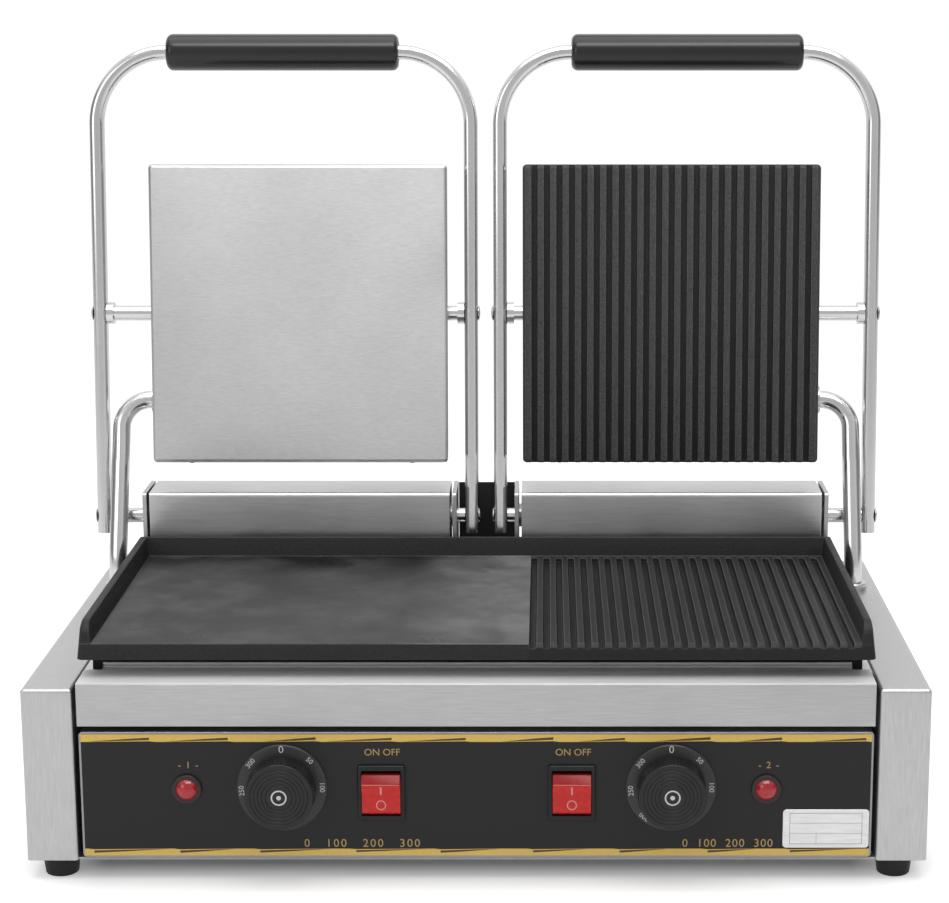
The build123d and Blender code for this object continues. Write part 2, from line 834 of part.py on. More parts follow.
# Feet: tapered rubber buffers, counterbored from below for their screws
def make_feet():
    with BuildPart() as feet:
        with BuildSketch(Plane.XY.offset(foot_height)):
            with Locations([(x, y) for x in foot_xs for y in foot_ys]):
                Circle(foot_diameter / 2)
        extrude(amount=-foot_height, taper=foot_taper)
        fillet(feet.edges().group_by(Axis.Z)[0], radius=foot_edge)
        with BuildSketch(Plane.XY):
            with Locations([(x, y) for x in foot_xs for y in foot_ys]):
                Circle(foot_screw_head + fit_gap)
        extrude(amount=foot_screw_sink, mode=Mode.SUBTRACT)
        with BuildSketch(Plane.XY):
            with Locations([(x, y) for x in foot_xs for y in foot_ys]):
                Circle(foot_screw_radius + fit_gap)
        extrude(amount=foot_height, mode=Mode.SUBTRACT)
    return feet.part


# Foot screws with their nuts on the pan
def make_foot_screws():
    pan_top = foot_height + sheet
    with BuildPart() as screws:
        with BuildSketch(Plane.XY.offset(foot_screw_sink - foot_screw_head_height)):
            with Locations([(x, y) for x in foot_xs for y in foot_ys]):
                Circle(foot_screw_head)
        extrude(amount=foot_screw_head_height)
        with BuildSketch(Plane.XY.offset(foot_screw_sink)):
            with Locations([(x, y) for x in foot_xs for y in foot_ys]):
                Circle(foot_screw_radius)
        extrude(amount=pan_top + foot_nut_height + sheet - foot_screw_sink)
        with BuildSketch(Plane.XY.offset(pan_top)):
            with Locations([(x, y) for x in foot_xs for y in foot_ys]):
                RegularPolygon(foot_screw_head, 6)
        extrude(amount=foot_nut_height)
    return screws.part


# Drip tray: a folded front bar with a shelf and an upstand, in one piece with a drawer pan
def make_drip_tray():
    height = tray_top_z - tray_bottom_z
    with BuildPart() as tray:
        with BuildSketch(Plane.YZ):
            with Locations((front, tray_top_z)):
                Rectangle(sheet, height, align=(Align.MIN, Align.MAX))
                Rectangle(tray_flange, sheet, align=(Align.MIN, Align.MAX))
            with Locations((front, tray_bottom_z)):
                Rectangle(tray_return, sheet, align=(Align.MIN, Align.MIN))
        extrude(amount=tray_front_half, both=True)
        fillet(tray.edges().filter_by(Axis.X).group_by(Axis.Z)[-1].sort_by(Axis.Y)[0], radius=sheet)
        with BuildSketch(Plane.YZ):
            with Locations((front + sheet, tray_top_z)):
                Rectangle(tray_shelf - sheet, sheet, align=(Align.MIN, Align.MAX))
            with Locations((front + tray_shelf, tray_top_z - sheet)):
                Rectangle(sheet, tray_upstand + sheet, align=(Align.MAX, Align.MIN))
            with Locations((front + sheet, tray_bottom_z)):
                Rectangle(tray_depth - sheet, sheet, align=(Align.MIN, Align.MIN))
        extrude(amount=tray_body_half, both=True)
        with BuildSketch(Plane.XY.offset(tray_bottom_z)):
            with Locations((0, front + sheet)):
                Rectangle(2 * tray_body_half, tray_depth - sheet, align=(Align.CENTER, Align.MIN))
                Rectangle(
                    2 * (tray_body_half - sheet),
                    tray_depth - 2 * sheet,
                    align=(Align.CENTER, Align.MIN),
                    mode=Mode.SUBTRACT,
                )
        extrude(amount=tray_wall)
    return tray.part


# Tray runners: angle rails on the inner walls of the casings
def make_runners():
    ledge_z = tray_bottom_z - fit_gap - sheet
    length = frame_end - runner_start
    with BuildPart() as runners:
        for side in sides:
            edge = Align.MAX if side > 0 else Align.MIN
            with BuildSketch(facing_front(front + runner_start + length)):
                with Locations((side * bay_half, ledge_z)):
                    Rectangle(sheet, runner_height, align=(edge, Align.MIN))
                    Rectangle(runner_reach + panel_gap_side, sheet, align=(edge, Align.MIN))
            extrude(amount=length)
    return runners.part


# Terminal block on the pan
def make_terminal_block():
    pitch = terminal_length / terminal_ways
    with BuildPart() as block:
        with BuildSketch(Plane.XY.offset(foot_height + sheet)):
            with Locations((terminal_x, front + terminal_y)):
                Rectangle(terminal_length, terminal_depth)
        extrude(amount=terminal_height)
        with BuildSketch(Plane.XY.offset(foot_height + sheet + terminal_height)):
            with Locations((terminal_x, front + terminal_y)):
                with GridLocations(pitch, 0, terminal_ways, 1):
                    Rectangle(terminal_slot, terminal_depth - 2 * sheet)
        extrude(amount=-terminal_height / 2, mode=Mode.SUBTRACT)
    return block.part


# Mains inlet gland: neck through the rear panel, tapered outside
def make_inlet_gland():
    with BuildPart() as gland:
        with BuildSketch(facing_front(rear)):
            with Locations((inlet_x, inlet_z)):
                Circle(inlet_radius)
        extrude(amount=-inlet_reach, taper=foot_taper)
        with BuildSketch(facing_front(rear)):
            with Locations((inlet_x, inlet_z)):
                Circle(inlet_neck)
        extrude(amount=sheet + gland_neck_length)
        with BuildSketch(facing_front(rear + inlet_reach)):
            with Locations((inlet_x, inlet_z)):
                Circle(inlet_bore)
        extrude(amount=2 * inlet_reach, mode=Mode.SUBTRACT)
    return gland.part


# Casing glands: the collars in which the conduits leave the casing tops
def make_casing_glands():
    with BuildPart() as glands:
        for side in sides:
            with BuildSketch(Plane.XY.offset(deck_z)):
                with Locations((side * conduit_x, front + conduit_y)):
                    Circle(gland_radius)
            extrude(amount=gland_height)
            with BuildSketch(Plane.XY.offset(deck_z)):
                with Locations((side * conduit_x, front + conduit_y)):
                    Circle(gland_neck)
            extrude(amount=-gland_neck_length)
        fillet(glands.edges().group_by(Axis.Z)[-1], radius=sheet)
        with BuildSketch(Plane.XY.offset(deck_z + gland_height)):
            with Locations((-conduit_x, front + conduit_y), (conduit_x, front + conduit_y)):
                Circle(conduit_radius + gland_fit)
        extrude(amount=-gland_height - gland_neck_length, mode=Mode.SUBTRACT)
    return glands.part


# Conduits: bent steel tubes from the casing tops into the sides of the heads
def make_conduit(side):
    end_x = head_outer_x - cover_inset - conduit_tail
    low = (side * conduit_x, front + conduit_y, deck_z - conduit_foot)
    knee = (side * conduit_x, front + conduit_y, deck_z + conduit_rise)
    elbow = (side * conduit_x, front + conduit_join_y, deck_z + conduit_join_z)
    end = (side * end_x, front + conduit_join_y, deck_z + conduit_join_z)
    with BuildPart() as conduit:
        with BuildLine() as path:
            FilletPolyline(low, knee, elbow, end, radius=[conduit_low_bend, conduit_high_bend])
        with BuildSketch(Plane(origin=low, z_dir=(0, 0, 1))):
            Circle(conduit_radius)
        sweep()
    return conduit.part


# Handle frames: a rounded bar bent into a U, drilled for the shaft and rod screws
def make_handle_frame(side):
    with BuildPart() as frame:
        with BuildLine(arm_plane(side)):
            FilletPolyline(
                (-arm_half_width, -arm_tail),
                (-arm_half_width, arm_length),
                (arm_half_width, arm_length),
                (arm_half_width, -arm_tail),
                radius=arm_bend,
            )
        start = on_arm(side, -arm_half_width, -arm_tail)
        along = arm_plane(side).y_dir
        with BuildSketch(Plane(origin=start, x_dir=(1, 0, 0), z_dir=along)):
            RectangleRounded(tube_width, tube_depth, tube_round)
        sweep()
        for height in (0, rod_height):
            with BuildSketch(across(on_arm(side, 0, height))):
                Circle(screw_shank_radius + screw_fit)
            extrude(amount=2 * arm_half_width, both=True, mode=Mode.SUBTRACT)
    return frame.part


# Grips: sleeves with rounded ends on the top rails
def make_grip(side):
    with BuildPart() as grip:
        with BuildSketch(across(on_arm(side, 0, arm_length))):
            Circle(grip_radius)
        extrude(amount=grip_length / 2, both=True)
        fillet(grip.edges().filter_by(GeomType.CIRCLE), radius=grip_edge)
        lean = Plane(origin=on_arm(side, 0, arm_length), x_dir=arm_plane(side).y_dir, z_dir=(1, 0, 0))
        with BuildSketch(lean):
            RectangleRounded(tube_width + 2 * grip_fit, tube_depth + 2 * grip_fit, tube_round + grip_fit)
        extrude(amount=grip_length, both=True, mode=Mode.SUBTRACT)
    return grip.part


def make_rod(side, height, collars):
    """A rod between the two legs of one frame, drilled at both ends for its screws."""
    with BuildPart() as rod:
        with BuildSketch(across(on_arm(side, 0, height))):
            Circle(shaft_radius)
        extrude(amount=leg_face, both=True)
        if collars:
            for way in sides:
                with BuildSketch(across(on_arm(side, way * (leg_face - collar_length / 2), height))):
                    Circle(collar_radius)
                extrude(amount=collar_length / 2, both=True)
        for way in sides:
            depth = screw_shank_length - tube_width + fit_gap
            with BuildSketch(across(on_arm(side, way * (leg_face - depth / 2), height))):
                Circle(screw_shank_radius + screw_fit)
            extrude(amount=depth / 2, both=True, mode=Mode.SUBTRACT)
    return rod.part


# Arm screws: four domed screws that clamp the shaft and the rod between the legs
def make_arm_screws(side):
    rise = screw_head_height
    dome_radius = (screw_head_radius**2 + rise**2) / (2 * rise)
    face = arm_half_width + tube_width / 2
    with BuildPart() as screws:
        for height in (0, rod_height):
            for way in sides:
                seat = on_arm(side, way * face, height)
                outward = Plane(origin=seat, x_dir=(0, 0, 1), z_dir=(0, way, 0))
                with BuildSketch(outward):
                    with BuildLine():
                        Line((0, -screw_shank_length), (0, rise))
                        RadiusArc((0, rise), (screw_head_radius, 0), dome_radius)
                        Line((screw_head_radius, 0), (screw_shank_radius, 0))
                        Line((screw_shank_radius, 0), (screw_shank_radius, -screw_shank_length))
                        Line((screw_shank_radius, -screw_shank_length), (0, -screw_shank_length))
                    make_face()
                revolve(axis=Axis(seat, (1, 0, 0)))
    return screws.part


def head_centre(side):
    """Where the middle of a head lies in the plane of its arm."""
    return (side * (head_mid_x - arm_x), rod_height)


def plate_back(side):
    """How far the back of a head plate lies from the rod; the left plate is the thinner one."""
    return head_face - (smooth_thickness if side < 0 else ribbed_thickness)


def edge_screw_depth(side):
    """How far the edge screws of a head lie from the rod, towards the working face."""
    return plate_back(side) - edge_screw_inset


# Head plates: a bevelled smooth plate on the left head, a ribbed one on the right
def make_head_plate(side):
    face = arm_plane(side, head_face)
    centre_x, centre_y = head_centre(side)
    outward = Axis((0, 0, 0), face.z_dir)
    with BuildPart() as plate:
        with BuildSketch(face):
            with Locations((centre_x, centre_y)):
                RectangleRounded(head_width, head_height, head_corner)
        extrude(amount=plate_back(side) - head_face)
        chamfer(plate.faces().sort_by(outward)[-1].edges(), length=head_bevel)
        if side > 0:
            with BuildSketch(face):
                with Locations((centre_x, centre_y)):
                    with GridLocations(head_groove_pitch, 0, head_groove_count, 1):
                        Rectangle(head_groove_width, head_height)
            extrude(amount=-head_groove_depth, mode=Mode.SUBTRACT)
    return plate.part


# Head covers: deep drawn shells behind the plates, pierced for the rod and the conduit
def make_head_cover(side):
    centre_x, centre_y = head_centre(side)
    screw_spots = [(centre_x + way * edge_screw_x, edge_screw_depth(side)) for way in sides]
    plane = arm_plane(side, -cover_back)
    outward = Axis((0, 0, 0), plane.z_dir)
    hole_x = side * (head_outer_x - cover_inset)
    with BuildPart() as cover:
        with BuildSketch(plane):
            with Locations((centre_x, centre_y)):
                Rectangle(head_width - 2 * cover_inset, head_height - 2 * cover_inset)
        extrude(amount=cover_back + plate_back(side))
        fillet(cover.edges().filter_by(outward), radius=head_corner)
        fillet(cover.faces().sort_by(outward)[0].edges(), radius=cover_round)
        offset(amount=-sheet, openings=cover.faces().sort_by(outward)[-1])
        with BuildSketch(across(on_arm(side, 0, rod_height))):
            Circle(shaft_radius + fit_gap)
        extrude(amount=head_width, both=True, mode=Mode.SUBTRACT)
        with BuildSketch(across((hole_x, front + conduit_join_y, deck_z + conduit_join_z))):
            Circle(gland_neck + fit_gap)
        extrude(amount=2 * sheet, both=True, mode=Mode.SUBTRACT)
        for screw_x, screw_depth in screw_spots:
            seat = on_arm(side, screw_x, centre_y - head_height / 2 + cover_inset, screw_depth)
            with BuildSketch(Plane(origin=seat, x_dir=(1, 0, 0), z_dir=arm_plane(side).y_dir)):
                Circle(edge_screw_shank + screw_fit)
            extrude(amount=sheet, mode=Mode.SUBTRACT)
    return cover.part


# Trunnions: bored blocks behind each plate that turn on the cross rod
def make_trunnions(side):
    centre_x, centre_y = head_centre(side)
    reach = head_width / 2 - cover_inset - sheet - trunnion_inset - trunnion_width / 2
    with BuildPart() as trunnions:
        with BuildSketch(arm_plane(side, -trunnion_depth)):
            with Locations((centre_x - reach, centre_y), (centre_x + reach, centre_y)):
                Rectangle(trunnion_width, trunnion_height)
        extrude(amount=trunnion_depth + plate_back(side))
        with BuildSketch(across(on_arm(side, 0, rod_height))):
            Circle(shaft_bore)
        extrude(amount=head_width, both=True, mode=Mode.SUBTRACT)
    return trunnions.part


# Head glands: the collars in which the conduits enter the heads
def make_head_gland(side):
    wall_x = side * (head_outer_x - cover_inset)
    mouth = (wall_x, front + conduit_join_y, deck_z + conduit_join_z)
    with BuildPart() as gland:
        with BuildSketch(across(mouth)):
            Circle(gland_radius)
        extrude(amount=side * gland_height)
        with BuildSketch(across(mouth)):
            Circle(gland_neck)
        extrude(amount=-side * gland_neck_length)
        with BuildSketch(across(mouth)):
            Circle(conduit_radius + gland_fit)
        extrude(amount=gland_height + gland_neck_length, both=True, mode=Mode.SUBTRACT)
    return gland.part


# Edge screws: two domed screws through the lower wall of each cover
def make_edge_screws(side):
    centre_x, centre_y = head_centre(side)
    depth = edge_screw_depth(side)
    edge = centre_y - head_height / 2 + cover_inset
    rise = edge_screw_proud
    dome_radius = (edge_screw_radius**2 + rise**2) / (2 * rise)
    with BuildPart() as screws:
        for way in sides:
            seat = on_arm(side, centre_x + way * edge_screw_x, edge, depth)
            with BuildSketch(Plane(origin=seat, x_dir=(1, 0, 0), z_dir=arm_plane(side).z_dir)):
                with BuildLine():
                    Line((0, edge_screw_reach), (0, -rise))
                    RadiusArc((0, -rise), (edge_screw_radius, 0), -dome_radius)
                    Line((edge_screw_radius, 0), (edge_screw_shank, 0))
                    Line((edge_screw_shank, 0), (edge_screw_shank, edge_screw_reach))
                    Line((edge_screw_shank, edge_screw_reach), (0, edge_screw_reach))
                make_face()
            revolve(axis=Axis(seat, arm_plane(side).y_dir))
    return screws.part


# Base body
save(make_base_pan(), "base_pan")
save(make_rear_panel(), "rear_panel")
save(make_deck(), "deck")
save(make_plate_frame(), "plate_frame")
save(make_lower_plate(), "lower_plate")
save(make_clamps(), "element_clamps")
save(make_insulation(), "insulation")
save(make_bearing_plates(), "bearing_plates")
save(make_bushes(), "shaft_bushes")
save(make_hinge_back(), "hinge_back")
save(make_control_panel(), "control_panel")
save(make_face_sheet(), "face_sheet")
save(make_dial_plates(), "dial_plates")
save(make_thermostats(), "thermostats")
save(make_lamp_bezels(), "lamp_bezels")
save(make_lamp_lenses(), "lamp_lenses")
save(make_switch_housings(), "switch_housings")
save(make_feet(), "feet")
save(make_foot_screws(), "foot_screws")
save(make_runners(), "tray_runners")
save(make_terminal_block(), "terminal_block")
save(make_inlet_gland(), "inlet_gland")
save(make_casing_glands(), "casing_glands")
save(make_drip_tray(), "drip_tray")

# Pieces that come in a left and a right one
for side, word in ((-1, "left"), (1, "right")):
    low = Plane.XY.offset(plate_z - element_seat - element_radius)
    high = arm_plane(side, plate_back(side) - element_seat - element_radius)
    low_x = side * lower_element_x
    high_x, high_y = head_centre(side)
    low_element = make_element(low, low_x, frame_mid_y, lower_element_half, lower_element_pitch)
    high_element = make_element(high, high_x, high_y, head_element_half, head_element_pitch)
    save(make_casing(side), f"{word}_casing")
    save(make_hinge_box(side), f"{word}_hinge_box")
    save(low_element, f"{word}_lower_element")
    save(make_conduit(side), f"{word}_conduit")
    save(make_knob(side), f"{word}_knob")
    save(make_spindle(side), f"{word}_spindle")
    save(make_rocker(side), f"{word}_rocker")
    save(make_handle_frame(side), f"{word}_handle_frame")
    save(make_grip(side), f"{word}_grip")
    save(make_rod(side, 0, False), f"{word}_hinge_shaft")
    save(make_rod(side, rod_height, True), f"{word}_cross_rod")
    save(make_arm_screws(side), f"{word}_arm_screws")
    save(make_head_plate(side), f"{word}_head_plate")
    save(make_head_cover(side), f"{word}_head_cover")
    save(high_element, f"{word}_head_element")
    save(make_trunnions(side), f"{word}_trunnions")
    save(make_head_gland(side), f"{word}_head_gland")
    save(make_edge_screws(side), f"{word}_edge_screws")
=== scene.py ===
# %% [markdown]
# # A double contact grill
# The solids of the grill come ready from its CAD frame, each one in its place and in metres.
# This lesson dresses them: it gives every surface its finish, and swaps the pieces whose edges
# and bends are seen from close by for finer meshes. The heads of the grill swing, its tray slides
# and its knobs turn; each new piece but the conduits hangs on an empty for the body of the frame
# that its solid belongs to.

# %% Load the frame
import json
import math
import random

import bmesh
import bpy
from mathutils import Matrix, Vector


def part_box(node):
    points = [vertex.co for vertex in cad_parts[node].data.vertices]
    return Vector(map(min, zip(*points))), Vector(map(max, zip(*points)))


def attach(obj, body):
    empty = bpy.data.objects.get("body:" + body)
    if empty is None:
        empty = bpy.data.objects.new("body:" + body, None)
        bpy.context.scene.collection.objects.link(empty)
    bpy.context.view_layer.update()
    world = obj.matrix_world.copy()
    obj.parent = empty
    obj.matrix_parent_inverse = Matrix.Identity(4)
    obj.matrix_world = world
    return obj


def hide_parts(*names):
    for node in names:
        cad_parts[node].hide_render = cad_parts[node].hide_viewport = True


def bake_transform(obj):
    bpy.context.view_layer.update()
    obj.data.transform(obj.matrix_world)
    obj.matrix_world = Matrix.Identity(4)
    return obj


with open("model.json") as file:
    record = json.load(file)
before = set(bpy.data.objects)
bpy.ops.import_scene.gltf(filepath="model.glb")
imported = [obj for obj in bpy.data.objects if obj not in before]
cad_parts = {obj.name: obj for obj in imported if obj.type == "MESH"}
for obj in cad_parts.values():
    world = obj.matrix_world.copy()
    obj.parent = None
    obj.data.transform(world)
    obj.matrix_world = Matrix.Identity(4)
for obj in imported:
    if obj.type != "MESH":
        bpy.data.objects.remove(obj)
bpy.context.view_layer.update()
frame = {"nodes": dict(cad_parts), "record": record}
nodes = frame["nodes"]
body_of_node = {
    node: body
    for body, members in frame["record"]["behaviour"]["bodies"].items()
    for node in members
}

# %% [markdown]
# ## The measures that the dressing needs
# A few sizes of the solids are used again here. Places are read from the frame wherever a
# solid's box gives them, because a place that is read can't drift away from the solid.
# The arms lean back by a fixed angle, so their pieces are drawn flat and then tipped into place.

# %% Measures
MM = 0.001
SIDES = (("left", -1), ("right", 1))
arm_lean = math.radians(5.5)


def corners_of(node):
    """The low and the high corner of a solid's box."""
    low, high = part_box(node)
    return Vector(low), Vector(high)


def middle(node):
    """The middle of a solid's box."""
    low, high = corners_of(node)
    return (low + high) / 2


def span(node):
    """The size of a solid's box."""
    low, high = corners_of(node)
    return high - low


def arm_place(word):
    """Takes a point across, along and out of an arm to its place on the grill."""
    shaft = middle(f"{word}_hinge_shaft")
    return Matrix.Translation(shaft) @ Matrix.Rotation(math.pi / 2 - arm_lean, 4, "X")


def front_place(x, y, z):
    """Takes a point across, up and out of the front to its place on the grill."""
    return Matrix.Translation((x, y, z)) @ Matrix.Rotation(math.pi / 2, 4, "X")


deck_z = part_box("left_casing")[1][2]
front_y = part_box("left_casing")[0][1]
tray_top, surface_z, smooth_to = deck_z + 3.9 * MM, deck_z + 25.5 * MM, 33 * MM
face_low, face_high = corners_of("face_sheet")
print("casing tops at", round(deck_z, 4), "front at", round(front_y, 4), "face at", round(face_low.y, 4))

# %% [markdown]
# ## A short way to write node trees
# A node tree is a drawing, and in code a drawing gets long. The helpers below add one node each
# and fill its sockets in the same line: a plain value is set, and another node's socket is joined.

# %% Node helpers
FLOAT, VECTOR, INTEGER = "NodeSocketFloat", "NodeSocketVector", "NodeSocketInt"
GEOMETRY, MATERIAL, OBJECT = "NodeSocketGeometry", "NodeSocketMaterial", "NodeSocketObject"


def fill(tree, socket, value):
    """Joins a socket to another one, or sets it to a plain value."""
    if isinstance(value, bpy.types.NodeSocket):
        tree.links.new(value, socket)
    else:
        socket.default_value = value


def put(tree, kind, sockets=None, **settings):
    """Adds a node to a tree, with its settings and its sockets' values or links."""
    node = tree.nodes.new(kind)
    for key, value in settings.items():
        setattr(node, key, value)
    for key, value in (sockets or {}).items():
        fill(tree, node.inputs[key], value)
    return node


def new_tree(name, kind, takes, gives):
    """A node group with named inputs and outputs, and its two end nodes."""
    tree = bpy.data.node_groups.new(name, kind)
    for labels, way in ((takes, "INPUT"), (gives, "OUTPUT")):
        for label, socket in labels.items():
            tree.interface.new_socket(label, in_out=way, socket_type=socket)
    return tree, tree.nodes.new("NodeGroupInput").outputs, tree.nodes.new("NodeGroupOutput").inputs


def give(tree, gives, **values):
    """Joins what a node group gives, and ends it."""
    for label, value in values.items():
        tree.links.new(value, gives[label])
    return tree


def maths(tree, operation, a, b=0.0, c=0.0):
    """One Math node, and what comes out of it."""
    return put(tree, "ShaderNodeMath", {0: a, 1: b, 2: c}, operation=operation).outputs[0]


def times(tree, a, b):
    """One value times another."""
    return maths(tree, "MULTIPLY", a, b)


def times_plus(tree, a, b, c):
    """One value times another, plus a third."""
    return maths(tree, "MULTIPLY_ADD", a, b, c)


def vector_maths(tree, operation, result="Vector", **sockets):
    """One Vector Math node, its two vectors named a and b."""
    keys = {"a": 0, "b": 1, "scale": "Scale"}
    values = {keys[key]: value for key, value in sockets.items()}
    return put(tree, "ShaderNodeVectorMath", values, operation=operation).outputs[result]


def parts_of(tree, place):
    """The X, Y and Z of a vector."""
    return put(tree, "ShaderNodeSeparateXYZ", {0: place}).outputs


def between(tree, value, low, high, from_low=0.3, from_high=0.7):
    """Spreads a mask over a range of plain numbers."""
    return put(
        tree, "ShaderNodeMapRange",
        {"Value": value, "From Min": from_low, "From Max": from_high, "To Min": low, "To Max": high},
    ).outputs[0]


def noise(tree, place, scale, detail, roughness=0.5):
    """Soft noise, mostly between 0.3 and 0.7."""
    sockets = {"Vector": place, "Scale": scale, "Detail": detail, "Roughness": roughness}
    return put(tree, "ShaderNodeTexNoise", sockets).outputs[0]


def bumped(tree, strength, distance, height, normal):
    """A normal that follows the slopes of a height."""
    sockets = {"Strength": strength, "Distance": distance, "Height": height, "Normal": normal}
    return put(tree, "ShaderNodeBump", sockets).outputs[0]


print("the helpers know these sockets:", FLOAT, VECTOR, INTEGER, GEOMETRY, MATERIAL, OBJECT)

# %% [markdown]
# ## Effects that several finishes share
# Three effects come back on this grill, so each is a node group that is built once.
# Soft edges bend the light over an edge that the solid leaves sharp, and mark where it is.
# Brush marks are noise that is stretched along the way the sheet was ground.
# Cast skin is the sandy surface that a mould leaves under enamel.

# %% Shared shader groups
def make_soft_edges():
    tree, takes, gives = new_tree(
        "soft_edges", "ShaderNodeTree", {"Radius": FLOAT}, {"Normal": VECTOR, "Edge": FLOAT}
    )
    bevel = put(tree, "ShaderNodeBevel", {"Radius": takes["Radius"]}, samples=4).outputs[0]
    flat = put(tree, "ShaderNodeNewGeometry").outputs["Normal"]
    bend = vector_maths(tree, "DOT_PRODUCT", "Value", a=bevel, b=flat)
    return give(tree, gives, Normal=bevel, Edge=between(tree, bend, 0.0, 1.0, 0.995, 0.8))


def make_brush_marks():
    tree, takes, gives = new_tree(
        "brush_marks", "ShaderNodeTree",
        {"Place": VECTOR, "Stretch": VECTOR, "Depth": FLOAT, "Normal": VECTOR},
        {"Marks": FLOAT, "Cloud": FLOAT, "Normal": VECTOR},
    )
    place = takes["Place"]
    stretched = vector_maths(tree, "MULTIPLY", a=place, b=takes["Stretch"])
    marks = noise(tree, stretched, 1.0, 4.0, 0.7)
    normal = bumped(tree, takes["Depth"], 0.2 * MM, marks, takes["Normal"])
    return give(tree, gives, Marks=marks, Cloud=noise(tree, place, 11.0, 2.0), Normal=normal)


def make_cast_skin():
    tree, takes, gives = new_tree(
        "cast_skin", "ShaderNodeTree",
        {"Place": VECTOR, "Grain": FLOAT, "Depth": FLOAT, "Normal": VECTOR},
        {"Grit": FLOAT, "Cloud": FLOAT, "Normal": VECTOR},
    )
    place, grain = takes["Place"], takes["Grain"]
    grit = noise(tree, place, grain, 5.0, 0.65)
    pits = put(tree, "ShaderNodeTexVoronoi", {"Vector": place, "Scale": grain}, feature="SMOOTH_F1")
    height = times_plus(tree, pits.outputs["Distance"], 0.5, grit)
    normal = bumped(tree, takes["Depth"], 0.5 * MM, height, takes["Normal"])
    return give(tree, gives, Grit=grit, Cloud=noise(tree, place, 14.0, 3.0), Normal=normal)


soft_edges, brush_marks, cast_skin = make_soft_edges(), make_brush_marks(), make_cast_skin()
print("shader groups:", [tree.name for tree in (soft_edges, brush_marks, cast_skin)])

# %% [markdown]
# ## A short way to write a finish
# Every finish starts the same way: an empty tree, one Principled shader and the object's own
# coordinates. The helpers start such a tree, place a shared group in it, mix two colours, and
# join what varies to the shader's sockets.

# %% Finishing helpers
def start_finish(name):
    """A new material with an empty tree, its Principled shader and the object's own coordinates."""
    material = bpy.data.materials.new(name)
    material.use_nodes = True
    tree = material.node_tree
    tree.nodes.clear()
    shader = put(tree, "ShaderNodeBsdfPrincipled")
    put(tree, "ShaderNodeOutputMaterial", {"Surface": shader.outputs[0]})
    place = put(tree, "ShaderNodeTexCoord").outputs["Object"]
    return material, tree, shader, place


def group(tree, inner, **sockets):
    """Places a shared group in a material."""
    return put(tree, "ShaderNodeGroup", sockets, node_tree=inner).outputs


def blend_colours(tree, mask, a, b):
    """Mixes two colours by a mask."""
    return put(tree, "ShaderNodeMix", {0: mask, 6: a, 7: b}, data_type="RGBA").outputs[2]


def join(tree, shader, **sockets):
    """Joins or sets the Principled shader's sockets; an underscore stands for a space."""
    for key, value in sockets.items():
        fill(tree, shader.inputs[key.replace("_", " ")], value)


def grey(value):
    """A plain neutral colour."""
    return (value, value, value, 1.0)


def neutral(tree, shade, blue=1.0):
    """A neutral colour from a shade that varies, with a little more blue."""
    channels = {"Red": shade, "Green": shade, "Blue": times(tree, shade, blue)}
    return put(tree, "ShaderNodeCombineColor", channels).outputs[0]


print("a middle grey is", grey(0.18))

# %% [markdown]
# ## Metals
# The casings, tray and covers are stainless sheet that was ground in one direction. It is grey
# because it mirrors a pale room through thousands of fine scratches: the colour is mostly plain, and
# the roughness and a very shallow bump carry the look. The sheet's edges are painted paler, a painted
# highlight; the top of the tray's shelf is painted paler too, and the left head plate is painted
# darker towards its left side, a painted shade. The way of the scratches differs by piece, so the
# finish is a function of the stretch. Tubes and screws are polished: the same metal, smoother.

# %% Metal finishes
# EDGE_LIGHT is how much paler edges are painted, and SHELF_LIGHT how much paler a shelf top is painted: both
# are painted highlights.
EDGE_LIGHT, SHELF_LIGHT, COOL = 0.16, 0.26, 1.005
ACROSS, UPRIGHT, DULL = (45.0, 900.0, 900.0), (900.0, 900.0, 60.0), (0.42, 0.52)


def brushed(name, stretch, tone, rough=(0.30, 0.40), depth=0.22, metal=1.0, shelf=None, painted_shade_fade=None):
    """Ground sheet, with its edges painted paler as a painted highlight. Above a shelf height it is painted
    paler and less metallic, a painted highlight; the painted shade fade darkens it from one x to another.
    """
    material, tree, shader, place = start_finish(name)
    edge = group(tree, soft_edges, Radius=0.7 * MM)
    marks = group(tree, brush_marks, Place=place, Stretch=stretch, Depth=depth, Normal=edge["Normal"])
    ground = between(tree, marks["Marks"], tone * 0.90, tone * 1.08)
    shade = times(tree, ground, between(tree, marks["Cloud"], 0.97, 1.03))
    parts = parts_of(tree, place)
    if shelf is not None:
        # The shelf top is painted paler and less metallic: a painted highlight.
        on_top = between(tree, parts["Z"], 0.0, 1.0, shelf - 0.7 * MM, shelf - 0.3 * MM)
        shade = times_plus(tree, on_top, SHELF_LIGHT, shade)
        metal = between(tree, on_top, metal, 0.0, 0.0, 1.0)
    # Painted shade: the sheet is darkened from one x to another, with a little waviness.
    if painted_shade_fade is not None:
        dark_x, full_x, share = painted_shade_fade
        wave = times_plus(tree, marks["Cloud"], 0.06, parts["X"])
        shade = times(tree, shade, between(tree, wave, share, 1.0, dark_x, full_x))
    # Edges are painted paler by the soft edge mask: a painted highlight.
    lit = times_plus(tree, edge["Edge"], EDGE_LIGHT, shade)
    join(
        tree, shader, Base_Color=neutral(tree, lit, COOL), Metallic=metal,
        Roughness=between(tree, marks["Cloud"], *rough), Normal=marks["Normal"],
    )
    return material


def polished(name, tone=0.66, rough=0.16):
    """Metal with hardly a scratch left."""
    material, tree, shader, place = start_finish(name)
    flat = put(tree, "ShaderNodeNewGeometry").outputs["Normal"]
    marks = group(tree, brush_marks, Place=place, Stretch=(300.0, 300.0, 300.0), Depth=0.02, Normal=flat)
    lit = between(tree, marks["Cloud"], tone * 0.95, tone * 1.05)
    join(
        tree, shader, Base_Color=neutral(tree, lit), Metallic=1.0,
        Roughness=between(tree, marks["Marks"], rough * 0.8, rough * 1.25), Normal=marks["Normal"],
    )
    return material


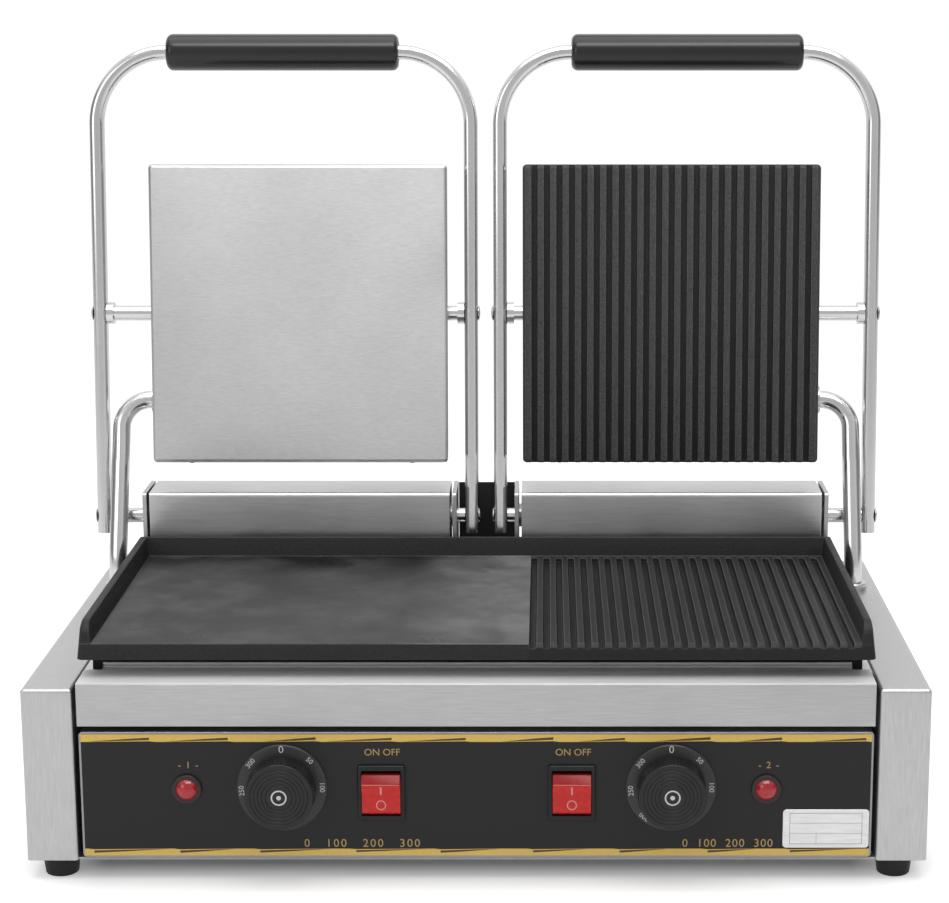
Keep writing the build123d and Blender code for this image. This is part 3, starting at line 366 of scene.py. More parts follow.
sheet_across = brushed("stainless_ground_across", ACROSS, 0.62)
sheet_upright = brushed("stainless_ground_upright", UPRIGHT, 0.52, (0.36, 0.46), 0.16)
tray_steel = brushed("stainless_tray", ACROSS, 0.56, DULL, 0.12, metal=0.35, shelf=tray_top)
panel_steel = brushed("stainless_panel_edge", ACROSS, 0.34, DULL, 0.12)
head_steel = brushed(
    "ground_head_plate", (160.0, 800.0, 1100.0), 0.67, (0.34, 0.42), 0.26, painted_shade_fade=(-0.235, -0.065, 0.72)
)
zinc_sheet = brushed("zinc_sheet", (90.0, 90.0, 90.0), 0.35, (0.42, 0.55), 0.1)
label_silver = brushed("silver_label", (60.0, 700.0, 700.0), 0.74, (0.36, 0.44), 0.08)
element_sheath = brushed("heat_tinted_sheath", (200.0, 200.0, 200.0), 0.22, (0.4, 0.5))
tube_steel = polished("polished_tube")
screw_steel = polished("polished_screw", 0.55, 0.22)
brass = polished("plain_brass", 0.5, 0.3)
print("metals ready")

# %% [markdown]
# ## Cast iron
# The lower plate and the ribbed head plate are cast and enamelled black. The skin is sandy, and
# where it is thin over an edge it is painted paler, a painted highlight of the light that catches it.
# The tops of the ribs are painted paler and their grooves darker, a painted highlight and painted
# shade. The smooth half of the lower plate is ground and seasoned, so it is flatter and carries a
# soft sheen, and it is painted paler in patches, a painted reflection of the pale room. One
# material can do both: a mask that reads the place on the plate chooses between the two.

# %% Cast finishes
def painted_reflection_patches(tree, place, across):
    """Painted reflections on the smooth plate: palest towards the ribs, a little at the left side, and in
    clouds.
    """
    patches = noise(tree, place, 26.0, 5.0, 0.6)
    clouds = times(tree, between(tree, patches, 0.0, 1.0, 0.42, 0.64), 0.034)
    near_side = between(tree, across, 1.0, 0.0, -0.222, -0.165)
    near_ribs = between(tree, across, 0.0, 1.0, -0.050, 0.020)
    reflection_share = times_plus(tree, near_ribs, 0.190, times_plus(tree, near_side, 0.020, clouds))
    return times(tree, reflection_share, between(tree, patches, 0.45, 1.15))


def cast(name, tone, rough, depth, ribs, ground=False):
    """Sandy cast iron. Its ribs rise along a way, up to a level, and start at an x. Their tops are painted
    paler and their grooves darker, a painted highlight and painted shade, and edges are painted paler, most
    on the rib tops, as a painted highlight.
    """
    material, tree, shader, place = start_finish(name)
    edge = group(tree, soft_edges, Radius=1.0 * MM)
    way, top, rib_from = ribs
    along = vector_maths(tree, "DOT_PRODUCT", "Value", a=place, b=way)
    raised = between(tree, along, 0.0, 1.0, top - 2.2 * MM, top - 0.3 * MM)
    skin = group(tree, cast_skin, Place=place, Grain=900.0, Depth=depth, Normal=edge["Normal"])
    roughness, normal = between(tree, skin["Cloud"], *rough), skin["Normal"]
    across = parts_of(tree, place)["X"]
    below_rim = maths(tree, "LESS_THAN", along, top + 0.4 * MM)
    on_ribs = times(tree, maths(tree, "GREATER_THAN", across, rib_from), below_rim)
    # Painted shade and highlight: grooves are painted darker, rib tops paler.
    rib_painted_light = between(tree, on_ribs, 1.0, between(tree, raised, 0.35, 1.80, 0.0, 1.0), 0.0, 1.0)
    speckle = between(tree, skin["Grit"], 0.45, 1.75, 0.35, 0.65)
    shade = times(tree, speckle, times(tree, rib_painted_light, tone))
    if ground:
        on_surface = maths(tree, "COMPARE", parts_of(tree, place)["Z"], top, 0.4 * MM)
        mask = times(tree, maths(tree, "LESS_THAN", across, rib_from), on_surface)
        flat = group(tree, cast_skin, Place=place, Grain=300.0, Depth=depth * 0.10, Normal=edge["Normal"])
        sheen = between(tree, flat["Cloud"], 0.24, 0.44)
        # The smooth half is painted paler in patches: a painted reflection.
        shade = times_plus(tree, mask, painted_reflection_patches(tree, place, across), shade)
        roughness = put(tree, "ShaderNodeMix", {0: mask, 2: roughness, 3: sheen}).outputs[0]
        normals = {0: mask, 4: normal, 5: flat["Normal"]}
        normal = put(tree, "ShaderNodeMix", normals, data_type="VECTOR").outputs[1]
    # Edges are painted paler, most on the rib tops: a painted highlight.
    lit_share = times_plus(tree, times(tree, on_ribs, raised), 0.16, 0.06)
    lit = times_plus(tree, edge["Edge"], lit_share, shade)
    join(
        tree, shader, Base_Color=neutral(tree, lit, 1.02), Roughness=roughness, Normal=normal,
        Specular_IOR_Level=0.36,
    )
    return material


upwards, outwards = (0.0, 0.0, 1.0), Vector((0.0, -math.cos(arm_lean), math.sin(arm_lean)))
ribbed_top = max(outwards.dot(v.co) for v in nodes["right_head_plate"].data.vertices)
plate_iron = cast(
    "seasoned_lower_plate", 0.009, (0.46, 0.60), 0.45, (upwards, surface_z, smooth_to), ground=True
)
head_iron = cast("ribbed_head_plate", 0.030, (0.42, 0.56), 0.75, (tuple(outwards), ribbed_top, 0.0))
print("cast finishes ready")

# %% [markdown]
# ## Plastics, rubber and the rest
# Moulded plastic is dark and even, with a faint texture from its mould, and it differs mostly in
# how rough it is. Printed marks are plain matt colours. The red rockers and lamp lenses are clear
# red plastic: some light passes into them, which a soft glow suggests.

# %% Plastic finishes
def spread(colour, low, high):
    """A darker and a paler kind of a colour."""
    return [tuple(c * share for c in colour) + (1.0,) for share in (low, high)]


def moulded(name, colour, rough, depth=0.08, grain=1400.0, coat=0.0):
    """Plastic, rubber or paint with the faint texture of a mould."""
    material, tree, shader, place = start_finish(name)
    edge = group(tree, soft_edges, Radius=0.4 * MM)
    skin = group(tree, cast_skin, Place=place, Grain=grain, Depth=depth, Normal=edge["Normal"])
    join(
        tree, shader, Base_Color=blend_colours(tree, skin["Cloud"], *spread(colour, 0.85, 1.15)),
        Normal=skin["Normal"], Coat_Weight=coat, Specular_IOR_Level=0.30,
        Roughness=between(tree, skin["Cloud"], rough * 0.9, rough * 1.1),
    )
    return material


def clear_red(name, colour, glow, rough, coat, crest=None):
    """Clear red plastic that glows a little. Above a crest it is painted a darker red, a painted shade."""
    material, tree, shader, place = start_finish(name)
    cloud = noise(tree, place, 260.0, 2.0)
    shaded = blend_colours(tree, cloud, *spread(colour, 0.8, 1.2))
    if crest is not None:
        # Painted shade: above the crest the rocker is painted a darker red.
        above = maths(tree, "GREATER_THAN", parts_of(tree, place)["Z"], crest)
        shaded = blend_colours(tree, above, shaded, (0.34, 0.018, 0.022, 1.0))
    join(
        tree, shader, Base_Color=shaded, Roughness=between(tree, cloud, rough * 0.8, rough * 1.2),
        Coat_Weight=coat, Specular_IOR_Level=0.22, Emission_Color=shaded, Emission_Strength=glow,
    )
    return material


def printed(name, colour):
    """Matt ink."""
    material, tree, shader, place = start_finish(name)
    shaded = blend_colours(tree, noise(tree, place, 500.0, 2.0), *spread(colour, 0.92, 1.05))
    join(tree, shader, Base_Color=shaded, Roughness=0.5)
    return material


grip_plastic = moulded("satin_grip", (0.013, 0.013, 0.014), 0.30, 0.03, coat=0.3)
panel_black = moulded("satin_black_face", (0.013, 0.013, 0.013), 0.42, 0.05)
dial_black = moulded("dial_black", (0.052, 0.052, 0.052), 0.30, 0.05)
knob_black = moulded("knob_black", (0.019, 0.019, 0.019), 0.30, 0.04)
bezel_black = moulded("bezel_black", (0.010, 0.009, 0.009), 0.32, 0.04)
warm_black = moulded("lamp_ring_black", (0.040, 0.022, 0.020), 0.30, 0.04)
rubber_black = moulded("foot_rubber", (0.010, 0.010, 0.010), 0.55, 0.25)
dark_paint = moulded("dark_heat_paint", (0.006, 0.006, 0.006), 0.55, 0.20)
grey_paint = moulded("hinge_sheet_paint", (0.040, 0.040, 0.042), 0.50, 0.12)
white_ceramic = moulded("white_ceramic", (0.70, 0.69, 0.66), 0.5)
wool_mat = moulded("mineral_wool", (0.55, 0.52, 0.45), 0.9, 1.0, grain=700.0)
rocker_crest = middle("switch_housings").z + 8.4 * MM
rocker_red = clear_red("red_rocker", (0.58, 0.030, 0.026), 0.12, 0.26, 0.0, rocker_crest)
lens_red = clear_red("red_lens", (0.38, 0.010, 0.018), 0.20, 0.06, 0.8)
white_ink = printed("white_print", (0.72, 0.72, 0.72))
gold_ink = printed("gold_print", (0.84, 0.56, 0.13))
letter_gold = printed("letter_gold", (0.50, 0.33, 0.12))
dark_gold_ink = printed("dark_gold_print", (0.085, 0.040, 0.008))
pink_ink = printed("pale_print", (0.80, 0.36, 0.36))
grey_ink = printed("grey_print", (0.30, 0.32, 0.35))
print("plastics ready")

# %% [markdown]
# ## Dressing the solids that keep their shape
# A solid whose shape is right stays. Only the material in its slots changes. In this table a star
# stands for the left one and the right one of a pair.

# %% Materials on the solids
DRESSING = (
    (sheet_upright, "*_casing bearing_plates"), (sheet_across, "rear_panel deck *_hinge_box *_head_cover"),
    (panel_steel, "control_panel"), (tray_steel, "drip_tray"),
    (zinc_sheet, "base_pan element_clamps tray_runners *_trunnions"),
    (tube_steel, "*_conduit *_handle_frame *_hinge_shaft *_cross_rod"),
    (screw_steel, "foot_screws casing_glands *_arm_screws *_head_gland"),
    (element_sheath, "*_lower_element *_head_element"), (brass, "shaft_bushes *_spindle"),
    (plate_iron, "lower_plate"), (head_steel, "left_head_plate"), (head_iron, "right_head_plate"),
    (dark_paint, "plate_frame *_edge_screws"), (grey_paint, "hinge_back"), (wool_mat, "insulation"),
    (white_ceramic, "thermostats terminal_block"), (bezel_black, "switch_housings inlet_gland"),
    (panel_black, "face_sheet"), (dial_black, "dial_plates"), (knob_black, "*_knob"),
    (grip_plastic, "*_grip"), (rubber_black, "feet"), (rocker_red, "*_rocker"),
    (warm_black, "lamp_bezels"), (lens_red, "lamp_lenses"),
)
dressed = set()
for finish, names in DRESSING:
    for node in {name.replace("*", word) for name in names.split() for word, side in SIDES}:
        dressed.add(node)
        for slot in nodes[node].material_slots:
            slot.material = finish
print("dressed", len(dressed), "solids; left as they came:", sorted(set(nodes) - dressed))

# %% [markdown]
# ## How a new piece joins the frame
# A piece that is made here stands for a solid, so that solid is hidden and the piece rides on the
# same body. Meshes are made flat and near the origin, where they are easy to think about, and a
# matrix takes them to their place. The object itself stays at the origin.

# %% Joining pieces
def new_object(name, data):
    """An object in the scene."""
    made = bpy.data.objects.new(name, data)
    bpy.context.collection.objects.link(made)
    return made


def add_piece(name, mesh, finish, stands_for, place=Matrix.Identity(4), rides=True):
    """Makes an object of a mesh in its place, dressed, and riding with the solid it belongs to."""
    mesh.transform(place)
    mesh.materials.clear()
    mesh.materials.append(finish)
    piece = new_object(name, mesh)
    if rides:
        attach(piece, body_of_node[stands_for])
    return piece


def replace_node(node, mesh, finish, place=Matrix.Identity(4)):
    """A piece that takes the place of one solid."""
    piece = add_piece(f"{node}_dressed", mesh, finish, node, place)
    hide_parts(node)
    return piece


def as_mesh(name, work):
    """A mesh of what a bmesh holds."""
    mesh = bpy.data.meshes.new(name)
    work.to_mesh(mesh)
    work.free()
    return mesh


def mesh_of(name, build):
    """A mesh from a function that fills a bmesh, its normals turned outwards."""
    work = bmesh.new()
    build(work)
    bmesh.ops.remove_doubles(work, verts=work.verts, dist=1e-7)
    bmesh.ops.recalc_face_normals(work, faces=work.faces)
    return as_mesh(name, work)


def merged(name, meshes):
    """One mesh of several."""
    work = bmesh.new()
    for mesh in meshes:
        work.from_mesh(mesh)
    return as_mesh(name, work)


def evaluated(holder):
    """The plain mesh that an object gives, which then goes."""
    graph = bpy.context.evaluated_depsgraph_get()
    mesh = bpy.data.meshes.new_from_object(holder.evaluated_get(graph), depsgraph=graph)
    bpy.data.objects.remove(holder)
    return mesh


def smooth(mesh, angle):
    """Shades a mesh smoothly, but keeps the edges sharper than an angle."""
    work = bmesh.new()
    work.from_mesh(mesh)
    for edge in work.edges:
        edge.smooth = len(edge.link_faces) < 2 or edge.calc_face_angle() < math.radians(angle)
    for face in work.faces:
        face.smooth = True
    work.to_mesh(mesh)
    work.free()
    return mesh


# %% [markdown]
# ## Broken edges
# No real edge is perfectly sharp: a casting has rounded edges, and a cut sheet is deburred. On a
# solid a fillet on every edge would be heavy, so here a copy of the solid is cleaned, its flat
# triangles are joined into faces, and a Bevel modifier rounds what is left. The tray's upstand,
# at the back of its top shelf, also moves back and down a little on its copy.

# %% Softened solids
def softened(node, finish, width, segments=2):
    """A copy of a solid with its sharp edges rounded, standing for it."""
    work = bmesh.new()
    work.from_mesh(nodes[node].data)
    bmesh.ops.remove_doubles(work, verts=work.verts, dist=1e-6)
    bmesh.ops.dissolve_limit(work, angle_limit=math.radians(0.5), verts=work.verts, edges=work.edges)
    mesh = as_mesh(f"{node}_dressed", work)
    for polygon in mesh.polygons:
        polygon.use_smooth = True
    piece = replace_node(node, mesh, finish)
    bevel = piece.modifiers.new("broken edges", "BEVEL")
    bevel.width = width
    bevel.segments = segments
    bevel.limit_method = "ANGLE"
    bevel.angle_limit = math.radians(30)
    bevel.harden_normals = True
    return piece


softened("lower_plate", plate_iron, 0.7 * MM)
softened("left_head_plate", head_steel, 0.5 * MM)
softened("right_head_plate", head_iron, 0.5 * MM)
tray = softened("drip_tray", tray_steel, 0.25 * MM)
tray_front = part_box("drip_tray")[0][1]
upstand_back, upstand_down = 4.0 * MM, 3.5 * MM
for vertex in tray.data.vertices:
    behind = vertex.co.y - tray_front
    if vertex.co.z > tray_top - 1.5 * MM and 20 * MM < behind < 34 * MM:
        vertex.co.y += upstand_back
        if vertex.co.z > tray_top + 3 * MM:
            vertex.co.z -= upstand_down
softened("switch_housings", bezel_black, 0.3 * MM)
for word, side in SIDES:
    softened(f"{word}_rocker", rocker_red, 0.35 * MM, 3)
print("softened the plates, the tray, the switches and the rockers")

# %% [markdown]
# ## Bars and tubes that are bent
# The handle frames are flattened bars with rounded corners, bent twice into a U, and the conduits
# are round tubes with two bends. Both follow one rule: a few corners, a bend radius at each corner,
# and a section that is swept along. Geometry Nodes hold that rule in one tree: Fillet Curve
# rounds the corners by the radius that each corner carries, and Curve to Mesh sweeps the section.

# %% The tree that bends bars
def new_shape_tree(name, takes):
    """A geometry tree that takes a geometry, some values and a finish, and gives a geometry."""
    sockets = {"Geometry": GEOMETRY, **takes, "Finish": MATERIAL}
    return new_tree(name, "GeometryNodeTree", sockets, {"Geometry": GEOMETRY})


def end_shape_tree(tree, takes, gives, shape):
    """Ends such a tree: copies are realized and the whole is dressed in the finish."""
    whole = put(tree, "GeometryNodeRealizeInstances", {"Geometry": shape}).outputs[0]
    dressed = put(tree, "GeometryNodeSetMaterial", {"Geometry": whole, "Material": takes["Finish"]})
    return give(tree, gives, Geometry=dressed.outputs[0])


def fillet(tree, curve, count, radius):
    """Rounds the corners of a curve."""
    sockets = {"Curve": curve, "Count": count, "Radius": radius, "Limit Radius": True}
    return put(tree, "GeometryNodeFilletCurve", sockets, mode="POLY").outputs[0]


def make_bent_bar():
    tree, takes, gives = new_shape_tree(
        "bent_bar", {"Width": FLOAT, "Depth": FLOAT, "Corner": FLOAT, "Steps": INTEGER}
    )
    line = put(tree, "GeometryNodeMeshToCurve", {"Mesh": takes["Geometry"]}).outputs[0]
    bend = put(tree, "GeometryNodeInputNamedAttribute", {"Name": "bend"}, data_type="FLOAT")
    path = fillet(tree, line, takes["Steps"], bend.outputs["Attribute"])
    upright = put(tree, "GeometryNodeSetCurveNormal", {"Curve": path}, mode="Z_UP").outputs[0]
    section = put(
        tree, "GeometryNodeCurvePrimitiveQuadrilateral",
        {"Width": takes["Width"], "Height": takes["Depth"]}, mode="RECTANGLE",
    ).outputs[0]
    corners = fillet(tree, section, 9, takes["Corner"])
    sweep = {"Curve": upright, "Profile Curve": corners, "Fill Caps": True}
    swept = put(tree, "GeometryNodeCurveToMesh", sweep).outputs[0]
    angle = put(tree, "GeometryNodeInputMeshEdgeAngle").outputs["Unsigned Angle"]
    sharp = put(tree, "FunctionNodeCompare", {0: angle, 1: 0.8}, operation="GREATER_THAN").outputs[0]
    creases = {"Geometry": swept, "Selection": sharp, "Shade Smooth": False}
    creased = put(tree, "GeometryNodeSetShadeSmooth", creases, domain="EDGE").outputs[0]
    return end_shape_tree(tree, takes, gives, creased)


def run_tree(name, tree, start, values):
    """Runs a geometry tree on a start mesh and gives the plain mesh that comes out."""
    holder = new_object(name, start)
    modifier = holder.modifiers.new("making", "NODES")
    modifier.node_group = tree
    for item in tree.interface.items_tree:
        if item.item_type == "SOCKET" and item.in_out == "INPUT" and item.name in values:
            modifier[item.identifier] = values[item.name]
    return evaluated(holder)


def bent_path(name, points, bends):
    """A line of points, each with the radius that its corner is bent to."""
    mesh = bpy.data.meshes.new(name)
    mesh.from_pydata([tuple(p) for p in points], [(i, i + 1) for i in range(len(points) - 1)], [])
    mesh.attributes.new("bend", "FLOAT", "POINT").data.foreach_set("value", bends)
    return mesh


bent_bar = make_bent_bar()
print("the bent bar takes:", [item.name for item in bent_bar.interface.items_tree if item.in_out == "INPUT"])

# %% [markdown]
# ## Handle frames
# Each arm is one bar, bent into a U with its open end at the hinge. It is drawn lying down, so
# that its section keeps its flat side to the front, and then tipped up by the matrix of its arm.

# %% Handle frames
bar_width, bar_depth, bar_corner = 10.0 * MM, 13.0 * MM, 4.2 * MM
bar_length, bar_tail, bar_bend = 335.0 * MM, 12.5 * MM, 51.0 * MM
for word, side in SIDES:
    half = (span(f"{word}_handle_frame").x - bar_width) / 2
    corners = [(-half, -bar_tail, 0), (-half, bar_length, 0), (half, bar_length, 0), (half, -bar_tail, 0)]
    path = bent_path(f"{word}_frame_path", corners, [0.0, bar_bend, bar_bend, 0.0])
    mesh = run_tree(
        f"{word}_frame_bar", bent_bar, path,
        {"Width": bar_width, "Depth": bar_depth, "Corner": bar_corner, "Steps": 28, "Finish": tube_steel},
    )
    replace_node(f"{word}_handle_frame", mesh, tube_steel, arm_place(word))
    print(word, "frame:", len(mesh.polygons), "faces")

# %% [markdown]
# ## Conduits
# The wires of each head run in a steel tube that leaves the casing top, leans back along the arm
# and turns into the side of the head. When an arm folds down, this tube gives. It is made in two
# lengths: the lower one bends between the base and the arm, the upper one between arm and head.

# %% Conduits
tube_radius, knee_height, low_bend, high_bend, split = 6.5 * MM, 32.0 * MM, 60.0 * MM, 21.0 * MM, 0.62


def conduit_route(word, side):
    """The corners of one conduit, read from its solid's box."""
    low, high = corners_of(f"{word}_conduit")
    outer, inner = (high.x, low.x) if side > 0 else (low.x, high.x)
    x, back, top = outer - side * tube_radius, high.y - tube_radius, high.z - tube_radius
    foot = Vector((x, low.y + tube_radius, low.z))
    knee = foot + Vector((0, 0, knee_height))
    elbow = Vector((x, back, top))
    return foot, knee, knee.lerp(elbow, split), elbow, Vector((inner, back, top))


def conduit_length(word, part, corners, bend):
    """One length of a conduit, bent at its middle corner."""
    name = f"{word}_conduit_{part}"
    path = bent_path(f"{name}_path", corners, [0.0, bend, 0.0])
    section = {"Width": 2 * tube_radius, "Depth": 2 * tube_radius, "Corner": tube_radius}
    mesh = run_tree(name, bent_bar, path, {**section, "Steps": 16, "Finish": tube_steel})
    return add_piece(name, mesh, tube_steel, f"{word}_conduit", rides=False)


for word, side in SIDES:
    foot, knee, between_bends, elbow, end = conduit_route(word, side)
    low_piece = conduit_length(word, "low", [foot, knee, between_bends], low_bend)
    high_piece = conduit_length(word, "high", [between_bends, elbow, end], high_bend)
    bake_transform(low_piece)
    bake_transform(high_piece)
    for piece in (low_piece, high_piece):
        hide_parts(f"{word}_conduit")
    print(word, "conduit turns at", tuple(round(v, 3) for v in elbow))

# %% [markdown]
# ## Turned pieces
# Grips and knobs are round about one axis, so half of their outline is enough. The outline is
# spun about Z with bmesh, and Z is then turned to where the piece points.

# %% Turning
def turned(name, outline, steps, angle=35):
    """A mesh spun about Z from an outline of (radius, height) pairs."""
    def build(work):
        made = [work.verts.new((max(r, 0.0), 0.0, z)) for r, z in outline]
        edges = [work.edges.new(pair) for pair in zip(made, made[1:])]
        bmesh.ops.spin(work, geom=made + edges, cent=(0, 0, 0), axis=(0, 0, 1), angle=math.tau, steps=steps)
    return smooth(mesh_of(name, build), angle)


def arc(centre, radius, start, end, count=6):
    """Points on an arc of an outline, for rounded corners."""
    steps = [math.radians(start + (end - start) * i / count) for i in range(count + 1)]
    return [(centre[0] + radius * math.cos(a), centre[1] + radius * math.sin(a)) for a in steps]


along_x = Matrix.Rotation(math.pi / 2, 4, "Y")
to_front = Matrix.Rotation(math.pi / 2, 4, "X")
print("turning about Z; to the front is", tuple(round(v, 1) for v in to_front @ Vector((0, 0, 1))))

# %% [markdown]
# ## Grips
# A black plastic sleeve is slid over the top bar of each frame. Its ends are rounded, and its
# bore is chamfered where the bar goes in. Both ends are alike, so one is drawn and mirrored.

# %% Grips
grip_bore, grip_round, chamfer = 6.5 * MM, 4.5 * MM, (1.5 * MM, 0.8 * MM)
for word, side in SIDES:
    size = span(f"{word}_grip")
    half, radius = size.x / 2, size.y / 2 - 0.03 * MM
    end = [(grip_bore, -half + chamfer[1]), (grip_bore + chamfer[0], -half)]
    end += arc((radius - grip_round, -half + grip_round), grip_round, -90, 0)
    end += [(radius, -half + 2 * grip_round)]
    outline = end + [(r, -z) for r, z in reversed(end)]
    mesh = turned(f"{word}_grip", outline, 72, 50)
    place = Matrix.Translation(middle(f"{word}_grip")) @ along_x
    replace_node(f"{word}_grip", mesh, grip_plastic, place)
print("grips of", round(size.x, 4), "by", round(size.y, 4))

# %% [markdown]
# ## Knobs
# Each knob is a tapered black cap with fine flutes round its side, shallow rings turned into its
# face and a pale ring in the middle. The cap is spun first. Then a small tree of Geometry Nodes
# presses the flutes into its side: the angle round the axis goes through a cosine, and the points
# between two heights move in by it. One number changes how many flutes there are.

# %% The tree that presses flutes
def make_flutes():
    tree, takes, gives = new_shape_tree(
        "flutes", {"Count": FLOAT, "Depth": FLOAT, "From": FLOAT, "To": FLOAT, "Inside": FLOAT}
    )
    parts = parts_of(tree, put(tree, "GeometryNodeInputPosition").outputs[0])
    turn = maths(tree, "ARCTAN2", parts["Y"], parts["X"])
    wave = maths(tree, "COSINE", times(tree, turn, takes["Count"]))
    groove = maths(tree, "POWER", times_plus(tree, wave, 0.5, 0.5), 1.6)
    flat = put(tree, "ShaderNodeCombineXYZ", {0: parts["X"], 1: parts["Y"], 2: 0.0}).outputs[0]
    radius = vector_maths(tree, "LENGTH", "Value", a=flat)
    inwards = times(tree, takes["Depth"], -1.0)
    above = maths(tree, "GREATER_THAN", parts["Z"], takes["From"])
    below = maths(tree, "LESS_THAN", parts["Z"], takes["To"])
    outer = maths(tree, "GREATER_THAN", radius, takes["Inside"])
    mask = times(tree, outer, times(tree, above, below))
    press = times(tree, times(tree, groove, mask), inwards)
    offset = vector_maths(tree, "SCALE", a=vector_maths(tree, "NORMALIZE", a=flat), scale=press)
    moved = put(tree, "GeometryNodeSetPosition", {"Geometry": takes["Geometry"], "Offset": offset})
    return end_shape_tree(tree, takes, gives, moved.outputs[0])


hub_bore, hub_radius, side_steps = 8.0 * MM, 15.0 * MM, 8
face_round, face_dot, ring_half, ring_depth = 0.9 * MM, 6.2 * MM, 0.45 * MM, 0.38 * MM
FACE_RINGS = (18.0, 15.6, 13.2, 10.8, 8.4)


def knob_outline(base, top, length, stand):
    """Half of a knob's outline, from its hub over its drum to the middle of its face."""
    points = [(hub_bore, 0.0), (hub_radius, 0.0), (hub_radius, stand), (base - 0.5 * MM, stand)]
    rise = length - stand - 1.3 * MM
    for i in range(side_steps + 1):
        share = i / side_steps
        points.append((base + (top - base) * share, stand + 0.4 * MM + rise * share))
    points += arc((top - face_round, length - face_round), face_round, 10, 90, 4)
    for ring in FACE_RINGS:
        for out, down in ((ring_half, 0.0), (0.0, ring_depth), (-ring_half, 0.0)):
            points.append((ring * MM + out, length - down))
    return points + [(face_dot, length), (0.0, length)]


flutes = make_flutes()
ink = 0.12 * MM
for word, side in SIDES:
    node = f"{word}_knob"
    size, centre = span(node), middle(node)
    base, length = size.x / 2 - 0.3 * MM, size.y - 0.12 * MM
    top, stand = base - 0.5 * MM, 3.0 * MM
    cap = turned(f"{node}_cap", knob_outline(base, top, length, stand), 384, 40)
    flute_zone = {"From": stand + 0.2 * MM, "To": length - 1.2 * MM, "Inside": top - 2.2 * MM}
    mesh = run_tree(
        f"{node}_fluted", flutes, cap,
        {"Count": 72.0, "Depth": 0.6 * MM, **flute_zone, "Finish": knob_black},
    )
    place = Matrix.Translation((centre.x, centre.y + size.y / 2, centre.z)) @ to_front
    replace_node(node, mesh, knob_black, place)
    ring_outline = [(4.0 * MM, 0.0), (4.1 * MM, ink), (4.9 * MM, ink), (5.0 * MM, 0.0), (4.0 * MM, 0.0)]
    mark = turned(f"{node}_ring", ring_outline, 48)
    dot = turned(f"{node}_dot", [(1.5 * MM, 0.0), (1.4 * MM, ink), (0.0, ink)], 24)
    on_face = place @ Matrix.Translation((0, 0, length - 0.02 * MM))
    add_piece(f"{node}_mark", merged(f"{node}_mark", [mark, dot]), white_ink, node, on_face)
    print(word, "knob:", len(mesh.polygons), "faces, radius", round(base, 4), "to", round(top, 4))

# %% [markdown]
# ## Numbers and words
# Marks are printed, so they have almost no height. A text curve is turned into a mesh, made a
# few hundredths of a millimetre thick, and laid on the face. The numbers of the dial stand round
# it, each turned so that its foot points to the middle.

# %% Printing
CAPITAL_SHARE = 0.63  # how high a capital stands in a font of size one


def lettering(body, height, gap=1.0):
    """A thin mesh of a few letters, centred, lying in XY."""
    curve = bpy.data.curves.new("print", "FONT")
    curve.body = body
    curve.size = height / CAPITAL_SHARE
    curve.extrude = 0.05 * MM
    curve.resolution_u = 3
    curve.space_character = gap
    curve.align_x = "CENTER"
    curve.align_y = "CENTER"
    mesh = evaluated(new_object("print", curve))
    bpy.data.curves.remove(curve)
    return mesh


def laid(mesh, place):
    """The mesh, moved to its place."""
    mesh.transform(place)
    return mesh


DIAL_MARKS = (("0", 0), ("50", 1), ("100", 2), ("150", 4), ("200", 5), ("250", 6), ("300", 7))
mark_radius, mark_step = 25.3 * MM, math.radians(44.3)
dial_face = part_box("dial_plates")[0][1]
for word, side in SIDES:
    centre = middle(f"{word}_knob")
    marks = []
    for number, stop in DIAL_MARKS:
        turn = Matrix.Rotation(-stop * mark_step, 4, "Z")
        height = 4.3 * MM if stop == 0 else 2.9 * MM
        marks.append(laid(lettering(number, height), turn @ Matrix.Translation((0, mark_radius, 0))))
    place = front_place(centre.x, dial_face, centre.z)
    scale = merged(f"{word}_dial_scale", marks)
    add_piece(f"{word}_dial_scale", scale, white_ink, "dial_plates", place)
    print(word, "dial carries", len(DIAL_MARKS), "numbers")

# %% [markdown]
# ## Gold stripes
# Two gold stripes frame the black face. They are not plain bars: their inner edges run out in
# long slanting strokes, as if they were drawn with a flat brush, with a darker gold in the
# strokes. Each stroke is a thin long wedge that starts on the stripe and ends a little inside it.

# %% Stripes
def flat_piece(work, points, low, high):
    """A thin flat piece in XY from its outline, with its back at one height and its front at another."""
    front = [work.verts.new((x, y, high)) for x, y in points]
    back = [work.verts.new((x, y, low)) for x, y in points]
    work.faces.new(front)
    work.faces.new(back[::-1])
    for i, v in enumerate(front):
        j = (i + 1) % len(front)
        work.faces.new((back[i], back[j], front[j], v))


def stripe_strokes(length, strokes, seed):
    """Where each stroke starts and ends along a stripe, and how high it climbs."""
    rule = random.Random(seed)
    step = length / strokes
    return [
        (step * (i + rule.uniform(0.0, 0.35)), step * (i + rule.uniform(0.85, 1.0)), rule.uniform(0.45, 0.70))
        for i in range(strokes)
    ]


def gold_stripe(work, height, strokes):
    """The stripe itself. Its lower edge climbs along each stroke and drops back within 4 mm."""
    edge = [(0, 0), (0, -height)]
    for start, end, climb in strokes:
        edge += [(start, -height), (end, -height * (1 - 0.16 * climb)), (end + 0.004, -height)]
    outline = [p for p in edge if p[0] <= stripe_length] + [(stripe_length, -height), (stripe_length, 0)]
    flat_piece(work, outline, 0.0, 0.05 * MM)


def stripe_shades(work, height, strokes):
    """The darker gold in the strokes, which widens as it climbs."""
    for start, end, climb in strokes:
        middle_x = start + 0.62 * (end - start)
        outline = [
            (start, 0.97), (middle_x, 0.96 - 0.20 * climb), (end, 0.94 - 0.34 * climb),
            (end, 0.80 - 0.66 * climb), (middle_x, 0.92 - 0.56 * climb),
        ]
        flat_piece(work, [(x, -height * share) for x, share in outline], 0.0, 0.09 * MM)


def stripe_mesh(name, build, height, strokes, seed):
    """A stripe that hangs down from y = 0, or its shades."""
    drawn = stripe_strokes(stripe_length, strokes, seed)
    return mesh_of(name, lambda work: build(work, height, drawn))


